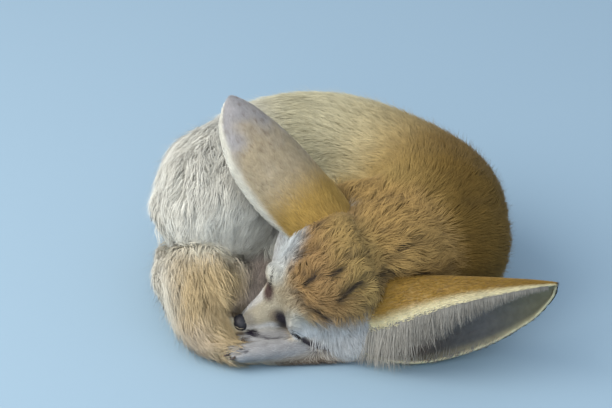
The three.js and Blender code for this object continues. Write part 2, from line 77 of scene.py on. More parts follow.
# %% Places and directions
NOSE_PAD_DRAWN_AT = (-53.65, -93.2, 15.7)
low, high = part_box("nose_pad")
SHIFT = np.array((low + high) / 2) / MM - np.array(NOSE_PAD_DRAWN_AT)


def unit(vectors):
    vectors = np.asarray(vectors, float)
    return vectors / np.maximum(np.linalg.norm(vectors, axis=-1, keepdims=True), 1e-9)


def at(x, y, z):
    """A place of the pose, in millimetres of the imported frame."""
    return np.array((x, y, z), float) + SHIFT


NOSE_TIP = at(-55.0, -92.0, 13.5)
FORWARD = unit((-0.87, -0.04, -0.49))
LEFT = unit((0.375, -0.698, -0.611))
DORSAL = unit(np.cross(FORWARD, LEFT))
LEFT = unit(np.cross(DORSAL, FORWARD))


def head_at(back, left, above):
    return NOSE_TIP - FORWARD * back + LEFT * left + DORSAL * above


def head_coordinates(points):
    from_nose = points - NOSE_TIP
    return -(from_nose @ FORWARD), from_nose @ LEFT, from_nose @ DORSAL


print("shift in mm", SHIFT.round(1))

# %% [markdown]
# ## Camera
# The photo looks slightly down on the fox with a long lens, which keeps the near ear
# from growing large. A camera can be turned by angles, but to aim it at a place in the
# middle of the fox is easier to change later.

# %% Camera
camera_data = bpy.data.cameras.new("camera")
camera_data.lens = 150
camera_data.sensor_width = 36
camera_data.clip_start = 0.01
camera_data.clip_end = 50
camera = bpy.data.objects.new("camera", camera_data)
bpy.context.scene.collection.objects.link(camera)
aim = Vector(at(-15, 0, 46) * MM)
camera.location = Vector(at(-15, -1395.06, 787.77) * MM)
camera.rotation_euler = (aim - camera.location).to_track_quat("-Z", "Y").to_euler()
bpy.context.scene.camera = camera
print("camera at", [round(v, 3) for v in camera.location])

# %% [markdown]
# ## Colours and nodes
# Colours are easiest to choose as sRGB hex values, but shaders add light, so they want
# linear values: one function turns them. Two more helpers make a material with its
# plain values set on the shader's own sockets, and add a node with its links.

# %% Colours and nodes


def linear(text):
    """An sRGB hex colour as the linear colour that the shaders want."""
    channels = [int(text[i:i + 2], 16) / 255 for i in (0, 2, 4)]
    return tuple(c / 12.92 if c <= 0.04045 else ((c + 0.055) / 1.055) ** 2.4 for c in channels)


def new_material(name, **values):
    material = bpy.data.materials.new(name)
    material.use_nodes = True
    tree = material.node_tree
    shader = next(n for n in tree.nodes if n.type == "BSDF_PRINCIPLED")
    for key, value in values.items():
        shader.inputs[key.replace("_", " ")].default_value = value
    return material, tree, shader


def add_node(tree, kind, settings=None, **links):
    """Adds a node, sets its values and links its inputs by name."""
    node = tree.nodes.new(kind)
    for key, value in (settings or {}).items():
        if hasattr(node, key):
            setattr(node, key, value)
        else:
            node.inputs[key].default_value = value
    for key, source in links.items():
        tree.links.new(source, node.inputs[key.replace("_", " ")])
    return node


def pattern_scale(size_mm):
    """The scale of a noise whose bumps have the given size on Object coordinates."""
    return 1000 / size_mm


print("a 2 mm pattern has scale", pattern_scale(2.0))

# %% [markdown]
# ## Floor
# The floor is a plain board with matt paint. Paint like that spreads the light evenly
# and has no clear reflection, so one pale colour and a high roughness are enough.

# %% Floor
floor_mesh = bpy.data.meshes.new("floor")
shape = bmesh.new()
bmesh.ops.create_grid(shape, x_segments=1, y_segments=1, size=6)
shape.to_mesh(floor_mesh)
shape.free()
floor = bpy.data.objects.new("floor", floor_mesh)
bpy.context.scene.collection.objects.link(floor)
# Matt wall paint: it spreads light evenly, so it shows shadows and hardly any gloss
paint, _, _ = new_material(
    "matt_painted_floor", Base_Color=(*linear("98b4c8"), 1), Roughness=0.7,
)
floor_mesh.materials.append(paint)
print("floor", len(floor_mesh.polygons), "face")

# %% [markdown]
# ## Light
# Fur shows best in soft, even light, as a hard lamp would draw a shadow of each tuft. A
# bright world does most of it. A large lamp on the left gives the form its soft shade,
# and a weak one in front opens the shadows under the chin.

# %% Studio light
bpy.context.scene.view_settings.view_transform = "Standard"
world = bpy.data.worlds.new("studio")
bpy.context.scene.world = world
world.use_nodes = True
world.node_tree.nodes["Background"].inputs["Color"].default_value = (*linear("dfe9f5"), 1)
world.node_tree.nodes["Background"].inputs["Strength"].default_value = 0.8


def soft_lamp(name, place, watts, size, colour):
    data = bpy.data.lights.new(name, "AREA")
    data.shape = "DISK"
    data.size = size
    data.energy = watts
    data.color = linear(colour)
    lamp = bpy.data.objects.new(name, data)
    bpy.context.scene.collection.objects.link(lamp)
    lamp.location = place
    lamp.rotation_euler = (Vector((0, 0, 0.05)) - lamp.location).to_track_quat("-Z", "Y").to_euler()


soft_lamp("key", Vector((-1.0, -0.25, 0.95)), 18.5, 1.4, "fff6ea")
soft_lamp("fill", Vector((-0.2, -1.3, 0.75)), 5, 1.0, "f6f4f0")
print("2 lamps and the world")

# %% [markdown]
# ## The skin
# A real fox has one skin from nose to tail, so the parted solids are copied into one
# mesh and a voxel remesh melts them together. Union booleans could join them too, but
# would leave sharp seams, where a remesh and a smoothing make soft ones.

# %% One skin from the solids
FLESH = [name for name in nodes if not name.startswith("ear_")]


def add_object(name, mesh):
    piece = bpy.data.objects.new(name, mesh)
    bpy.context.scene.collection.objects.link(piece)
    return piece


def applied(piece):
    """The object's mesh with its modifiers turned into plain vertices."""
    graph = bpy.context.evaluated_depsgraph_get()
    mesh = bpy.data.meshes.new_from_object(piece.evaluated_get(graph))
    piece.modifiers.clear()
    piece.data = mesh
    return mesh


body_shape = bmesh.new()
for name in FLESH:
    body_shape.from_mesh(nodes[name].data)
bmesh.ops.remove_doubles(body_shape, verts=body_shape.verts, dist=1e-7)
skin_mesh = bpy.data.meshes.new("skin")
body_shape.to_mesh(skin_mesh)
body_shape.free()
skin = add_object("skin", skin_mesh)
remesh = skin.modifiers.new("melt", "REMESH")
remesh.mode = "VOXEL"
remesh.voxel_size = 1.7 * MM
relax = skin.modifiers.new("relax", "SMOOTH")
relax.factor = 0.5
relax.iterations = 8
skin_mesh = applied(skin)
print("skin", len(skin_mesh.vertices), "vertices")

# %% [markdown]
# ## One shell
# Where solids overlap, the remesh can leave small closed bubbles inside. Nobody sees
# them, but they are stray faces. Each island of linked vertices is walked through once
# and only the largest, the outer skin, is kept.

# %% Dropping inner bubbles


def drop_inner_bubbles(shape):
    """Keeps the largest island of vertices and tells how many others went."""
    unseen = set(shape.verts)
    largest = set()
    while unseen:
        island = {unseen.pop()}
        border = list(island)
        while border:
            for link in border.pop().link_edges:
                for other in link.verts:
                    if other in unseen:
                        unseen.discard(other)
                        island.add(other)
                        border.append(other)
        if len(island) > len(largest):
            largest = island
    loose = [v for v in shape.verts if v not in largest]
    bmesh.ops.delete(shape, geom=loose, context="VERTS")
    return len(loose)


shape = bmesh.new()
shape.from_mesh(skin_mesh)
print("dropped", drop_inner_bubbles(shape), "inner vertices")

# %% [markdown]
# ## Finer faces
# The face and the toes carry lines that are narrower than the skin's faces. A smaller
# voxel everywhere would cost far too many triangles, so only the faces near these
# places are split in four.

# %% Finer on the face and the paws
# Each forepaw runs from its wrist to the middle of its toes
PAWS = {
    "left": (at(-2, -108, 9), at(-55, -117, 9.5)),
    "right": (at(-6, -92, 9), at(-54, -102, 7)),
}


def cut_finer(shape, centre, reach):
    """Splits the faces near a place in four."""
    middle = Vector(centre * MM)
    near = [f for f in shape.faces if (f.calc_center_median() - middle).length < reach * MM]
    around = {edge for face in near for edge in face.edges}
    bmesh.ops.subdivide_edges(shape, edges=list(around), cuts=1, use_grid_fill=True)


cut_finer(shape, head_at(24, 5, 5), 30)
for wrist, toes in PAWS.values():
    cut_finer(shape, toes * 0.9 + wrist * 0.1, 11)
bmesh.ops.triangulate(shape, faces=shape.faces)
shape.to_mesh(skin_mesh)
shape.free()
print("skin", len(skin_mesh.polygons), "triangles")

# %% [markdown]
# ## The skin as arrays
# Depth, hair length, direction and colour are all values on the skin's vertices. As
# arrays of numbers they can be worked out for the whole fox at once. To average a value
# with its neighbours along the edges makes one part of the body run into the next.

# %% Arrays and averages


def mesh_arrays(mesh):
    """Vertices in mm, triangles and edges as arrays."""
    places = np.empty(len(mesh.vertices) * 3)
    mesh.vertices.foreach_get("co", places)
    corners = np.empty(len(mesh.polygons) * 3, int)
    mesh.polygons.foreach_get("vertices", corners)
    edges = np.empty(len(mesh.edges) * 2, int)
    mesh.edges.foreach_get("vertices", edges)
    return places.reshape(-1, 3) / MM, corners.reshape(-1, 3), edges.reshape(-1, 2)


def spread(values, edges, times):
    """Averages a value with its neighbours along the edges, again and again."""
    values = np.array(values, float)
    flat = values.reshape(len(values), -1)
    count = np.bincount(edges.ravel(), minlength=len(flat)) + 1.0
    for _ in range(times):
        total = flat.copy()
        for column in range(flat.shape[1]):
            total[:, column] += np.bincount(edges[:, 0], flat[edges[:, 1], column], len(flat))
            total[:, column] += np.bincount(edges[:, 1], flat[edges[:, 0], column], len(flat))
        flat = total / count[:, None]
    return flat.reshape(values.shape)


def vertex_normals(places, triangles):
    corner = places[triangles]
    face = np.cross(corner[:, 1] - corner[:, 0], corner[:, 2] - corner[:, 0])
    normals = np.zeros_like(places)
    for column in range(3):
        for k in range(3):
            normals[:, column] += np.bincount(triangles[:, k], face[:, column], len(places))
    return unit(normals)


places, triangles, edges = mesh_arrays(skin_mesh)
places = spread(places, edges, 1)
print(len(places), "places and", len(edges), "edges")

# %% [markdown]
# ## Which part of the body is where
# The coat differs from head to tail. Weights could be painted by hand, but the solids
# already know the parts: every vertex of the skin asks for the nearest solid, and that
# solid's name says which part of the body it is on.

# %% The nearest solid of each vertex
SEPARATE = ("nose_pad", "eyelids_left", "eyelids_right")
corner_list, face_list, face_node = [], [], []
for index, name in enumerate(FLESH):
    mesh = nodes[name].data
    start = len(corner_list)
    corner_list.extend(v.co.copy() for v in mesh.vertices)
    face_list.extend([start + i for i in face.vertices] for face in mesh.polygons)
    face_node.extend([index] * len(mesh.polygons))
solids = BVHTree.FromPolygons(corner_list, face_list)
nearest = [solids.find_nearest(Vector(place * MM))[2] for place in places]
part = np.array(face_node)[np.array(nearest)]
part_names = np.array(FLESH)[part]
on_head = np.isin(part_names, ["head", *SEPARATE])
on_tail = np.char.startswith(part_names, "tail")
print({name: int((part_names == name).sum()) for name in FLESH})

# %% [markdown]
# ## Soft steps and mixes
# On a living animal nothing changes at a sharp line. Two small helpers serve from here
# on: one rises softly from 0 to 1 between two values, and the other mixes two rows of
# numbers or two colours by such a share.

# %% Soft steps and mixes


def smooth(value, start, end):
    """0 before the start, 1 after the end and an even slope between them."""
    share = np.clip((value - start) / (end - start), 0, 1)
    return share * share * (3 - 2 * share)


def blend(first, second, share):
    """Two values mixed, with the share of the second one from 0 to 1."""
    share = np.asarray(share)[..., None]
    return np.asarray(first) * (1 - share) + np.asarray(second) * share


print("half way", float(smooth(0.5, 0, 1)))

# %% [markdown]
# ## The coat of each part
# A fennec has velvet on its muzzle, curly wool on crown and neck, and hair of 15 mm and
# more on thigh and tail. One table holds the coat of each part in a row of numbers, so
# that whole rows can be mixed where two parts meet.

# %% Coat of each part
# How far the skin lies under the solids, the coat's height over the skin, hair length
# and width in mm, tufts a square mm, the share by which tips gather in clumps, and how
# dark the roots are against the tips
COAT = {
    "nose_pad": (0.9, 0.9, 1.6, 0.30, 3.0, 0.0, 0.95),
    "eyelids": (1.0, 1.0, 1.8, 0.32, 3.0, 0.0, 0.95),
    "head": (2.0, 3.0, 7.5, 0.52, 1.5, 0.35, 0.70),
    "forepaw": (0.9, 0.9, 3.0, 0.36, 2.1, 0.1, 0.95),
    "foreleg": (2.0, 2.6, 7.0, 0.50, 1.1, 0.2, 0.9),
    "hind_paw": (1.2, 1.4, 5.0, 0.45, 1.4, 0.1, 0.9),
    "hind_leg": (1.6, 6.4, 17.0, 0.50, 1.25, 0.16, 0.96),
    "tail_base": (1.4, 6.4, 16.0, 0.50, 1.25, 0.14, 0.95),
    "tail_middle": (1.4, 6.4, 16.0, 0.50, 1.25, 0.14, 0.95),
    "tail_tip": (1.2, 1.6, 9.0, 0.46, 1.2, 0.14, 0.9),
    "neck": (2.8, 4.2, 11.0, 0.54, 1.3, 0.4, 0.66),
    "torso": (1.8, 4.6, 13.0, 0.50, 1.1, 0.1, 0.92),
}
FACE_COAT = (1.0, 1.0, 2.4, 0.34, 3.2, 0.05, 0.9)
CHEEK_COAT = (1.6, 2.4, 10.0, 0.42, 2.0, 0.1, 0.95)
COAT_BY_NOSE = (3.0, 1.4, 7.0, 0.40, 1.6, 0.1, 0.95)
NOSE_MIDDLE = NOSE_TIP - FORWARD * 2.2 + DORSAL * 1.8


def coat_of(name):
    return next(value for key, value in COAT.items() if name.startswith(key))


def below_cheek_line(back, side, above):
    """How many mm a place lies under the line from the eye to the ear's base."""
    return side * 0.8 - above * 0.6 - (5 + (back - 31) * 0.36)


is_part = {key: np.char.startswith(part_names, key) for key in COAT}
back, left, above = head_coordinates(places)
low_cheek = smooth(below_cheek_line(back, left, above), -1, 6) * smooth(back, 30, 38) * on_head
by_nose = (1 - smooth(np.linalg.norm(places - NOSE_MIDDLE, axis=1), 12, 34)) * ~on_head
coat = np.array([coat_of(name) for name in FLESH])[part]
coat = blend(coat, FACE_COAT, on_head * (1 - smooth(back, 22, 56)))
coat = blend(coat, CHEEK_COAT, low_cheek)
coat = blend(coat, COAT_BY_NOSE, by_nose)
coat = spread(coat, edges, 14)
# The tail lies flat where the thigh presses on it
by_thigh = spread(is_part["hind_leg"].astype(float), edges, 30) * on_tail
coat[:, 1] *= 1 - np.clip(by_thigh * 1.1, 0, 0.7)
draw, height_over, hair_length, hair_width, hair_density, clump, shade = coat.T
print("coat height", height_over.min().round(1), "to", height_over.max().round(1), "mm")

# %% [markdown]
# ## Room for the coat
# The solids show the fox with its coat on, so the skin has to lie deeper, or the fur
# would make it fat. Each vertex goes inwards by its own depth. The deep valley between
# head and neck is averaged away, as thick hair fills it on a real nape.

# %% Drawing the skin in
SOLE_HEIGHT = 0.6
normals = vertex_normals(places, triangles)
drawn_in = places - spread(normals, edges, 2) * draw[:, None]
drawn_in = drawn_in * 0.4 + spread(drawn_in, edges, 4) * 0.6
head_share = spread(on_head.astype(float), edges, 40)
nape = 4 * head_share * (1 - head_share) * smooth(back, 66, 82)
drawn_in = blend(drawn_in, spread(drawn_in, edges, 160), np.clip(nape * 1.2, 0, 1))
drawn_in[:, 2] = np.maximum(drawn_in[:, 2], SOLE_HEIGHT)
print("mean depth", np.linalg.norm(drawn_in - places, axis=1).mean().round(2), "mm")

# %% [markdown]
# ## Lines of the face and the crown
# The mouth and the fold that runs from the closed eye under the cheek are shallow
# grooves. On the crown the curly coat falls open in partings darkened with painted shade.
# Each line is written as a path in the head's own directions, since a path is easy to
# read and to move.

# %% Paths of the face


def head_path(*stops):
    return [head_at(*stop) for stop in stops]


EYE_PATHS = {
    "left": head_path((29.8, 12.6, 9.4), (31.6, 18.5, 9.6), (32.4, 23.6, 8.0), (33.9, 27.4, 2.2)),
    "right": head_path(
        (30.0, -5.4, 13.6), (34.2, -10.6, 16.6), (37.0, -14.8, 17.8), (37.0, -20.0, 15.6),
    ),
}
CHEEK_FOLD = head_path((33.9, 27.4, 2.2), (37.9, 32.3, -1.2), (44.8, 37.9, -4.3), (52, 41, -6))
CHIN_LINE = head_path(
    (3.2, 6.4, 0.4), (10.5, 12.0, 2.0), (15.2, 15.8, 1.3), (20.9, 18.6, -0.6), (24, 20, -1),
)
MOUTH = [
    head_path((1, 0, -3.4), (6, s * 4.6, -3.2), (16, s * 8.6, -4.2), (26, s * 12.5, -3.6))
    for s in (1, -1)
]
CREASES = [
    head_path((64, 9.2, 27), (69.5, 7.4, 27.8), (76, 7.3, 27.4)),
    head_path((65.3, 21.2, 21.7), (72.8, 19.9, 22.5), (78.1, 18.6, 22.9), (82.9, 17.7, 22.3)),
    head_path((88.6, 19.7, 18.3), (91.4, 15.1, 8.7), (95.9, 13.7, 6.5), (103.2, 16.1, 3.7)),
    head_path((81, 27.5, 13.8), (84.5, 28, 10.9), (88.7, 27, 8.5)),
    head_path((89.9, 22.7, 10.5), (92, 19, 6), (96, 18.5, 2)),
    head_path((104.2, 5.7, 8.8), (109.2, 4.4, 6.3), (113.3, 2.6, 4)),
    head_path((51.8, 4.4, 24.8), (56.6, 3.9, 26.6), (60.8, 4.3, 27.7)),
    head_path((49.7, 17.9, 18.5), (51.5, 20.6, 17.5), (53.7, 25, 14.1)),
]
print(len(CREASES), "creases and", len(MOUTH), "mouth lines")

# %% [markdown]
# ## Toes
# A forepaw has four toes side by side, parted by short gaps. The paw's own directions,
# forward, across and up, place the gaps now and the claws later.

# %% Paths between the toes
TOE_SPACING = 4.3


def paw_directions(wrist, toes):
    forward = unit(toes - wrist)
    across = unit(np.cross((0, 0, 1), forward))
    return forward, across, np.cross(forward, across)


def toe_gaps(wrist, toes):
    """Short paths between the four toes of a forepaw, along its top."""
    forward, across, upward = paw_directions(wrist, toes)
    tops = [toes + across * step * TOE_SPACING + upward * 3.4 for step in (-1, 0, 1)]
    return [
        [top + forward * 6.5 - upward * 2.5, top + forward * 3, top - forward * 6] for top in tops
    ]


TOE_GAPS = [path for paw in PAWS.values() for path in toe_gaps(*paw)]
print(len(TOE_GAPS), "gaps between toes")

# %% [markdown]
# ## Cutting the grooves
# A groove could be carved with a boolean, but fur-covered lines have no sharp edges. So
# each vertex measures how far it is from a path and sinks along its normal, deepest on
# the path itself. The same measure later darkens the line with painted shade, which on
# the mouth also stands for the dark lip.

# %% Grooves
# The paths, their width and how deep the skin sinks, in mm
GROOVES = {
    "mouth": (MOUTH, 1.6, 0.9),
    "chin": ([CHIN_LINE], 2.3, 2.2),
    "fold": ([CHEEK_FOLD], 2.4, 1.8),
    "toes": (TOE_GAPS, 1.8, 2.0),
}


def stroke(points, path, wide):
    """1 on a path of places in mm, fading to 0 at the given distance from it."""
    far = np.full(len(points), 1e9)
    for start, end in zip(path[:-1], path[1:]):
        span = end - start
        share = np.clip((points - start) @ span / (span @ span), 0, 1)
        far = np.minimum(far, np.linalg.norm(points - start - share[:, None] * span, axis=1))
    return 1 - smooth(far, 0.3 * wide, wide)


grooves = {
    name: np.max([stroke(drawn_in, path, wide) for path in paths], axis=0)
    for name, (paths, wide, deep) in GROOVES.items()
}
normals = vertex_normals(drawn_in, triangles)
for name, (paths, wide, deep) in GROOVES.items():
    drawn_in = drawn_in - normals * (grooves[name] * deep)[:, None]
normals = vertex_normals(drawn_in, triangles)
skin_tree = BVHTree.FromPolygons([Vector(p) for p in drawn_in], triangles.tolist())
print("groove vertices", {name: int((value > 0.5).sum()) for name, value in grooves.items()})

# %% [markdown]
# ## The lie of the coat
# Hair points away from the nose: back over the head, along the trunk, down the thigh
# and on to the tip of the tail. The field is set part by part and then averaged, which
# is quicker to change than to comb hair by hand.

# %% The way the hair lies
TAIL_SPINE = np.array([at(*p) for p in (
    (-72, -2, 34), (-79, -22, 32), (-81, -44, 28), (-78, -68, 24), (-74, -90, 16),
    (-61, -107, 8), (-30, -111, 4.5), (0, -111, 3.5), (20, -109, 3),
)])
RING_MIDDLE = at(-2.0, -24.0, 48.0)
RING_RADIUS = 68


def along_spine(points, spine):
    """The direction of the spine's length that is nearest to each point."""
    middles = (spine[1:] + spine[:-1]) / 2
    ways = unit(spine[1:] - spine[:-1])
    far = np.linalg.norm(points[:, None] - middles[None], axis=2)
    weight = np.exp(-(far / 12.0) ** 2) + 1e-9
    return unit((weight[:, :, None] * ways[None]).sum(1))


back, left, above = head_coordinates(drawn_in)
from_ring = drawn_in - RING_MIDDLE
ring_way = unit(np.stack([-from_ring[:, 1], from_ring[:, 0], np.zeros(len(from_ring))], 1))
outer = np.linalg.norm(from_ring[:, :2], axis=1) - RING_RADIUS
lie = ring_way - np.array((0, 0, 0.3)) * smooth(outer, -10, 25)[:, None]
lie[is_part["neck"]] = unit((0.7, 0.6, -0.25))
cheek_share = smooth(np.abs(left) * 0.8 - above * 0.6, 2, 14) * smooth(back, 26, 40)
cheek_way = np.where((left > 0)[:, None], (0.08, -0.25, -1.0), -LEFT * 0.85 - FORWARD * 0.6)
crown_way = np.tile(-FORWARD - DORSAL * 0.12, (len(left), 1))
lie[on_head] = blend(crown_way, cheek_way, cheek_share)[on_head]
lie[on_tail] = along_spine(drawn_in[on_tail], TAIL_SPINE)
lie[is_part["hind_leg"]] = unit((-0.15, -0.85, -0.5))
on_foreleg = is_part["foreleg"] | is_part["forepaw"]
lie[on_foreleg] = unit((-1, -0.12, -0.05))
lie[is_part["hind_paw"]] = unit((-0.1, -1, -0.2))
lie = spread(unit(lie), edges, 24)
print("mean lie", lie.mean(0).round(2))

# %% [markdown]
# ## Curls and partings
# On crown and neck the wool is curly, and it opens in thin partings darkened with painted
# shade. A slow noise turns the lie to and fro, more where the coat is curly. Thin lines
# where another noise crosses zero give the small partings, and the written creases give
# the large ones.

# %% Curls and partings


def ripple(points, size, seed):
    """Smooth noise from -1 to 1 whose bumps are `size` mm long on each axis."""
    scaled = points / np.asarray(size, float) + seed * 17.3
    return np.array([noise.noise(Vector(place)) for place in scaled])


curly = on_head * smooth(back, 34, 48) * smooth(above - np.abs(left) * 0.5, -8, 4)
curly = np.maximum(curly, is_part["neck"] * 0.75)
curly = spread(curly, edges, 10)
turn = ripple(drawn_in, 9, 1) * (0.25 + 1.1 * curly) + ripple(drawn_in, 26, 2) * 0.5
side = np.cross(normals, lie)
lie = unit(lie * np.cos(turn)[:, None] + side * np.sin(turn)[:, None])
# The share along the normal is taken out, so that the lie runs along the skin
lie = unit(lie - normals * (lie * normals).sum(1, keepdims=True))
crease_at = np.stack([back / 2.4, left, above], 1)
crease = 1 - smooth(np.abs(ripple(crease_at, 5.5, 3)), 0.02, 0.17)
soft_crease = 1 - smooth(np.abs(ripple(drawn_in, 15, 4)), 0.0, 0.14)
# The partings lower the hair and later get a painted shade
shaded_parting = np.maximum(crease * curly * 0.7, soft_crease * 0.14 * (1 - curly) * (1 - on_head))
opened = np.max([stroke(drawn_in, path, 2.4) for path in CREASES], axis=0)
shaded_parting = np.maximum(shaded_parting, opened)
print("parting share", (shaded_parting > 0.5).mean().round(3))

# %% [markdown]
# ## Markings
# A fennec is sand-coloured so that it disappears on dunes: golden on crown, neck and
# flank, cream along the back, whitish on cheeks, haunch and paws, with a dark tail
# tip and a dark patch before each eye. An image could hold them, but soft-edged zones
# in the fox's own directions have no seams and colour skin, coat and lids alike.

# %% The palette and a soft zone
PALETTE = {key: np.array(linear(value)) for key, value in {
    # The deep gold is partly the flank's own deeper colour and partly painted shade
    "gold": "b99f63", "deep_gold_and_shade": "6e5524", "crown": "ad8c5e", "nape": "bc9b61",
    "brow": "baac90", "cream": "d3cdac", "white": "eff1f1", "cheek": "c4c6c6",
    # The hollow colour is a painted purple-grey shade for the recesses by the muzzle
    "haunch": "e4e4da", "underside": "c9b48a", "hollow_shade": "cdbcae", "paw": "b0b1b3",
    "tail": "ddd0b4", "tail_gold": "cdb586", "tail_low": "c9baa4", "tail_tip": "4a3a30",
    # The nose's grey is a painted soft shadow round the nose pad
    "muzzle": "c9c1ab", "pale": "d2d2c8", "nose_shadow_grey": "72737b", "brown": "75604e",
    # The tear colour, a real marking, also darkens the grooves as painted shade; the parting colour
    # is painted shade
    "tear": "35303d", "far_patch": "56403f", "shaded_parting": "2d2c2f", "slit": "1d191c",
    # The low ear's darker gold is partly painted shade
    "ear_base": "bd9c56", "low_ear_gold_and_shade": "9a7a38", "ear_back": "b8aa8e", "ear_tip": "b0aeb0",
    "ear_white": "cdd5d8", "rim": "e4dab0", "fringe": "b9b5ab", "ear_pink": "a58b7c",
    # The cup's grey-blue and its dark depth are painted shade
    "ear_blue_shade": "6d6f70", "ear_cup_shade": "3f3b3a", "ear_far": "75735c", "claw": "5a4c44",
}.items()}


def zone(points, centre, radius, soft=0.5):
    """1 inside a round or oval zone, and 0 outside its soft edge."""
    from_middle = points - centre
    turned = np.stack([from_middle @ FORWARD, from_middle @ LEFT, from_middle @ DORSAL], 1)
    far = np.linalg.norm(turned / np.asarray(radius, float), axis=1)
    return 1 - smooth(far, 1 - soft, 1 + soft)


print(len(PALETTE), "colours")

# %% [markdown]
# ## Markings of the body and the tail
# The trunk lies in a ring, so its colours follow the angle round the ring: cream over
# the rump, golden at the shoulders, deepest low on the far side, where the flank's deeper
# gold also carries painted shade. The tail is tan with a golden middle, whitish where it
# leaves the rump and dark brown at its tip. A purple-grey painted shade tints tail and
# legs in the hollows by the muzzle, and a brown painted shadow lies on the forelegs low
# under the cheek.

# %% Markings of the body


def tail_markings(points, by_thigh):
    c = PALETTE
    x, y, z = (points - SHIFT).T
    tail = blend(c["tail"], c["tail_low"], smooth(-y, 62, 100))
    tail = blend(tail, c["tail_gold"], 0.8 * zone(points, at(-72, -82, 34), (20, 22, 22)))
    tail = blend(tail, c["tail_gold"], 0.8 * zone(points, at(-62, -104, 12), (14, 16, 12)))
    tail = blend(tail, c["haunch"], 0.7 * smooth(-x - z * 0.2, 78, 92))
    # Painted shade: a purple-grey tint on the tail in the hollow by the muzzle
    tail = blend(tail, c["hollow_shade"], 0.8 * smooth(x, -66, -52) * smooth(y, -98, -80))
    tail = blend(tail, c["tail_tip"], smooth(x, -48, -30) * (1 - smooth(y, -100, -90)))
    return blend(tail, c["haunch"], np.clip(by_thigh * 1.6, 0, 0.8))


def body_markings(points, part_masks):
    """The coat's colour on trunk, legs and tail. The masks run from 0 to 1."""
    c = PALETTE
    x, y, z = (points - SHIFT).T
    ring = np.degrees(np.arctan2(y + 24, x + 2))
    golden = 1 - smooth(ring + ripple(points, 22, 5) * 10, 0, 100)
    golden = np.where(ring < -110, 0, golden)
    body = blend(c["cream"], c["gold"], golden)
    # Painted shade: the gold deepens on the side turned away from the key lamp, over the flank's
    # own deeper gold
    body = blend(body, c["deep_gold_and_shade"], golden * smooth(x, 14, 76) * smooth(z, 5, 40) * 0.9)
    body = blend(body, c["haunch"], smooth(-x, 10, 60) * smooth(ring, 90, 130))
    body = blend(body, c["underside"], 0.5 * (1 - smooth(z, 5, 30)))
    body = blend(body, c["haunch"], part_masks["thigh"])
    body = blend(body, c["nape"], part_masks["neck"] * 0.9)
    body = blend(body, tail_markings(points, part_masks["by_thigh"]), part_masks["tail"])
    paw = part_masks["paw"]
    body = blend(body, c["paw"], paw)
    # Painted shadow: the forelegs turn brown low under the cheek, where shade falls
    leg_shadow = paw * smooth(x, -36, -20) * smooth(-y, 85, 100) * (1 - smooth(z, 3, 8))
    body = blend(body, c["brown"], 0.75 * leg_shadow)
    # Painted shade: the legs in the hollow under the head take the purple-grey hollow tint
    return blend(body, c["hollow_shade"], 0.85 * paw * (1 - smooth(np.abs(y + 62), 14, 30)))


masks = {name: spread(mask.astype(float), edges, 6) for name, mask in {
    "head": on_head, "tail": on_tail, "thigh": is_part["hind_leg"], "neck": is_part["neck"],
    "paw": on_foreleg | is_part["hind_paw"],
}.items()}
masks["by_thigh"] = by_thigh
body_colour = body_markings(drawn_in, masks)
print("mean body colour", body_colour.mean(0).round(2))

# %% [markdown]
# ## Markings of the head
# From the nose backwards the head is pale tan, sandy on the brow and golden brown on
# the crown. Streaks of white run up from the cheek, the lip is white, and small patches
# lie round the eyes. A grey patch round the nose is painted shadow, and a painted
# highlight whitens the side of the muzzle that faces up. A table holds the patches,
# because all are made in the same way.

# %% Markings of the head
# Colour, strength, place in the head's directions and radius in mm
HEAD_PATCHES = (
    # Painted shadow: a soft grey round the nose pad
    ("nose_shadow_grey", 0.45, (6.5, 2, 5), (5.5, 6, 5)),
    ("pale", 0.8, (36, 17, 12), (5, 7, 6)),
    ("white", 0.75, (37, 21, 4), (8, 10, 8)),
    ("pale", 0.85, (38, -13, 18), (7, 9, 7)),
    ("ear_white", 1.0, (49, -23, 10), (14, 15, 16)),
    ("brown", 0.55, (24, 8, 8), (4.5, 4, 5)),
    ("tear", 0.95, (27.8, 11.2, 8.0), (4.8, 5.2, 6.0)),
    ("tear", 0.8, (24.2, 14.6, 0.2), (3.8, 4.4, 7)),
    ("far_patch", 0.95, (27.5, -7.0, 10.5), (5.5, 6.5, 5.5)),
)
# How dark each groove turns: painted shade, and on the mouth the dark lip as well
GROOVE_LIP_AND_SHADE = {"mouth": 0.9, "chin": 1.0, "fold": 0.9, "toes": 0.8}


def head_markings(points):
    c = PALETTE
    back, left, above = head_coordinates(points)
    head = blend(c["muzzle"], c["brow"], smooth(back, 27, 36))
    head = blend(head, c["crown"], smooth(back + above * 0.2, 40, 54))
    head = blend(head, c["gold"], 0.7 * smooth(back, 60, 84) * smooth(above, 0, 18))
    streaks = ripple(points, (3, 5, 16), 6) * 6 * smooth(back, 40, 52)
    low = below_cheek_line(back, np.abs(left), above)
    head = blend(head, c["cheek"], smooth(low + streaks, -5, 5) * smooth(back, 25, 31))
    muzzle = 1 - smooth(back, 20, 26)
    lip = (1 - smooth(above - np.abs(left) * 0.25, 0.6, 3.6)) * muzzle
    head = blend(head, c["white"], lip)
    # Painted highlight: the side of the muzzle that faces up to the lamp is whitened
    head = blend(head, c["white"], 0.7 * smooth(-left, 2, 6) * muzzle)
    for colour, strength, place, radius in HEAD_PATCHES:
        head = blend(head, c[colour], strength * zone(points, head_at(*place), radius))
    return head


coat_colour = blend(body_colour, head_markings(drawn_in), masks["head"])
# Painted shade: the partings are darkened almost to black, as shade falls into them
coat_colour = blend(coat_colour, PALETTE["shaded_parting"], shaded_parting * 0.9)
# Painted shade darkens the toe gaps, the cheek fold and the chin line; on the mouth line it joins
# the dark lip
for name, share in GROOVE_LIP_AND_SHADE.items():
    coat_colour = blend(coat_colour, PALETTE["tear"], np.clip(grooves[name] * share, 0, 1))
print("mean coat colour", coat_colour.mean(0).round(2))

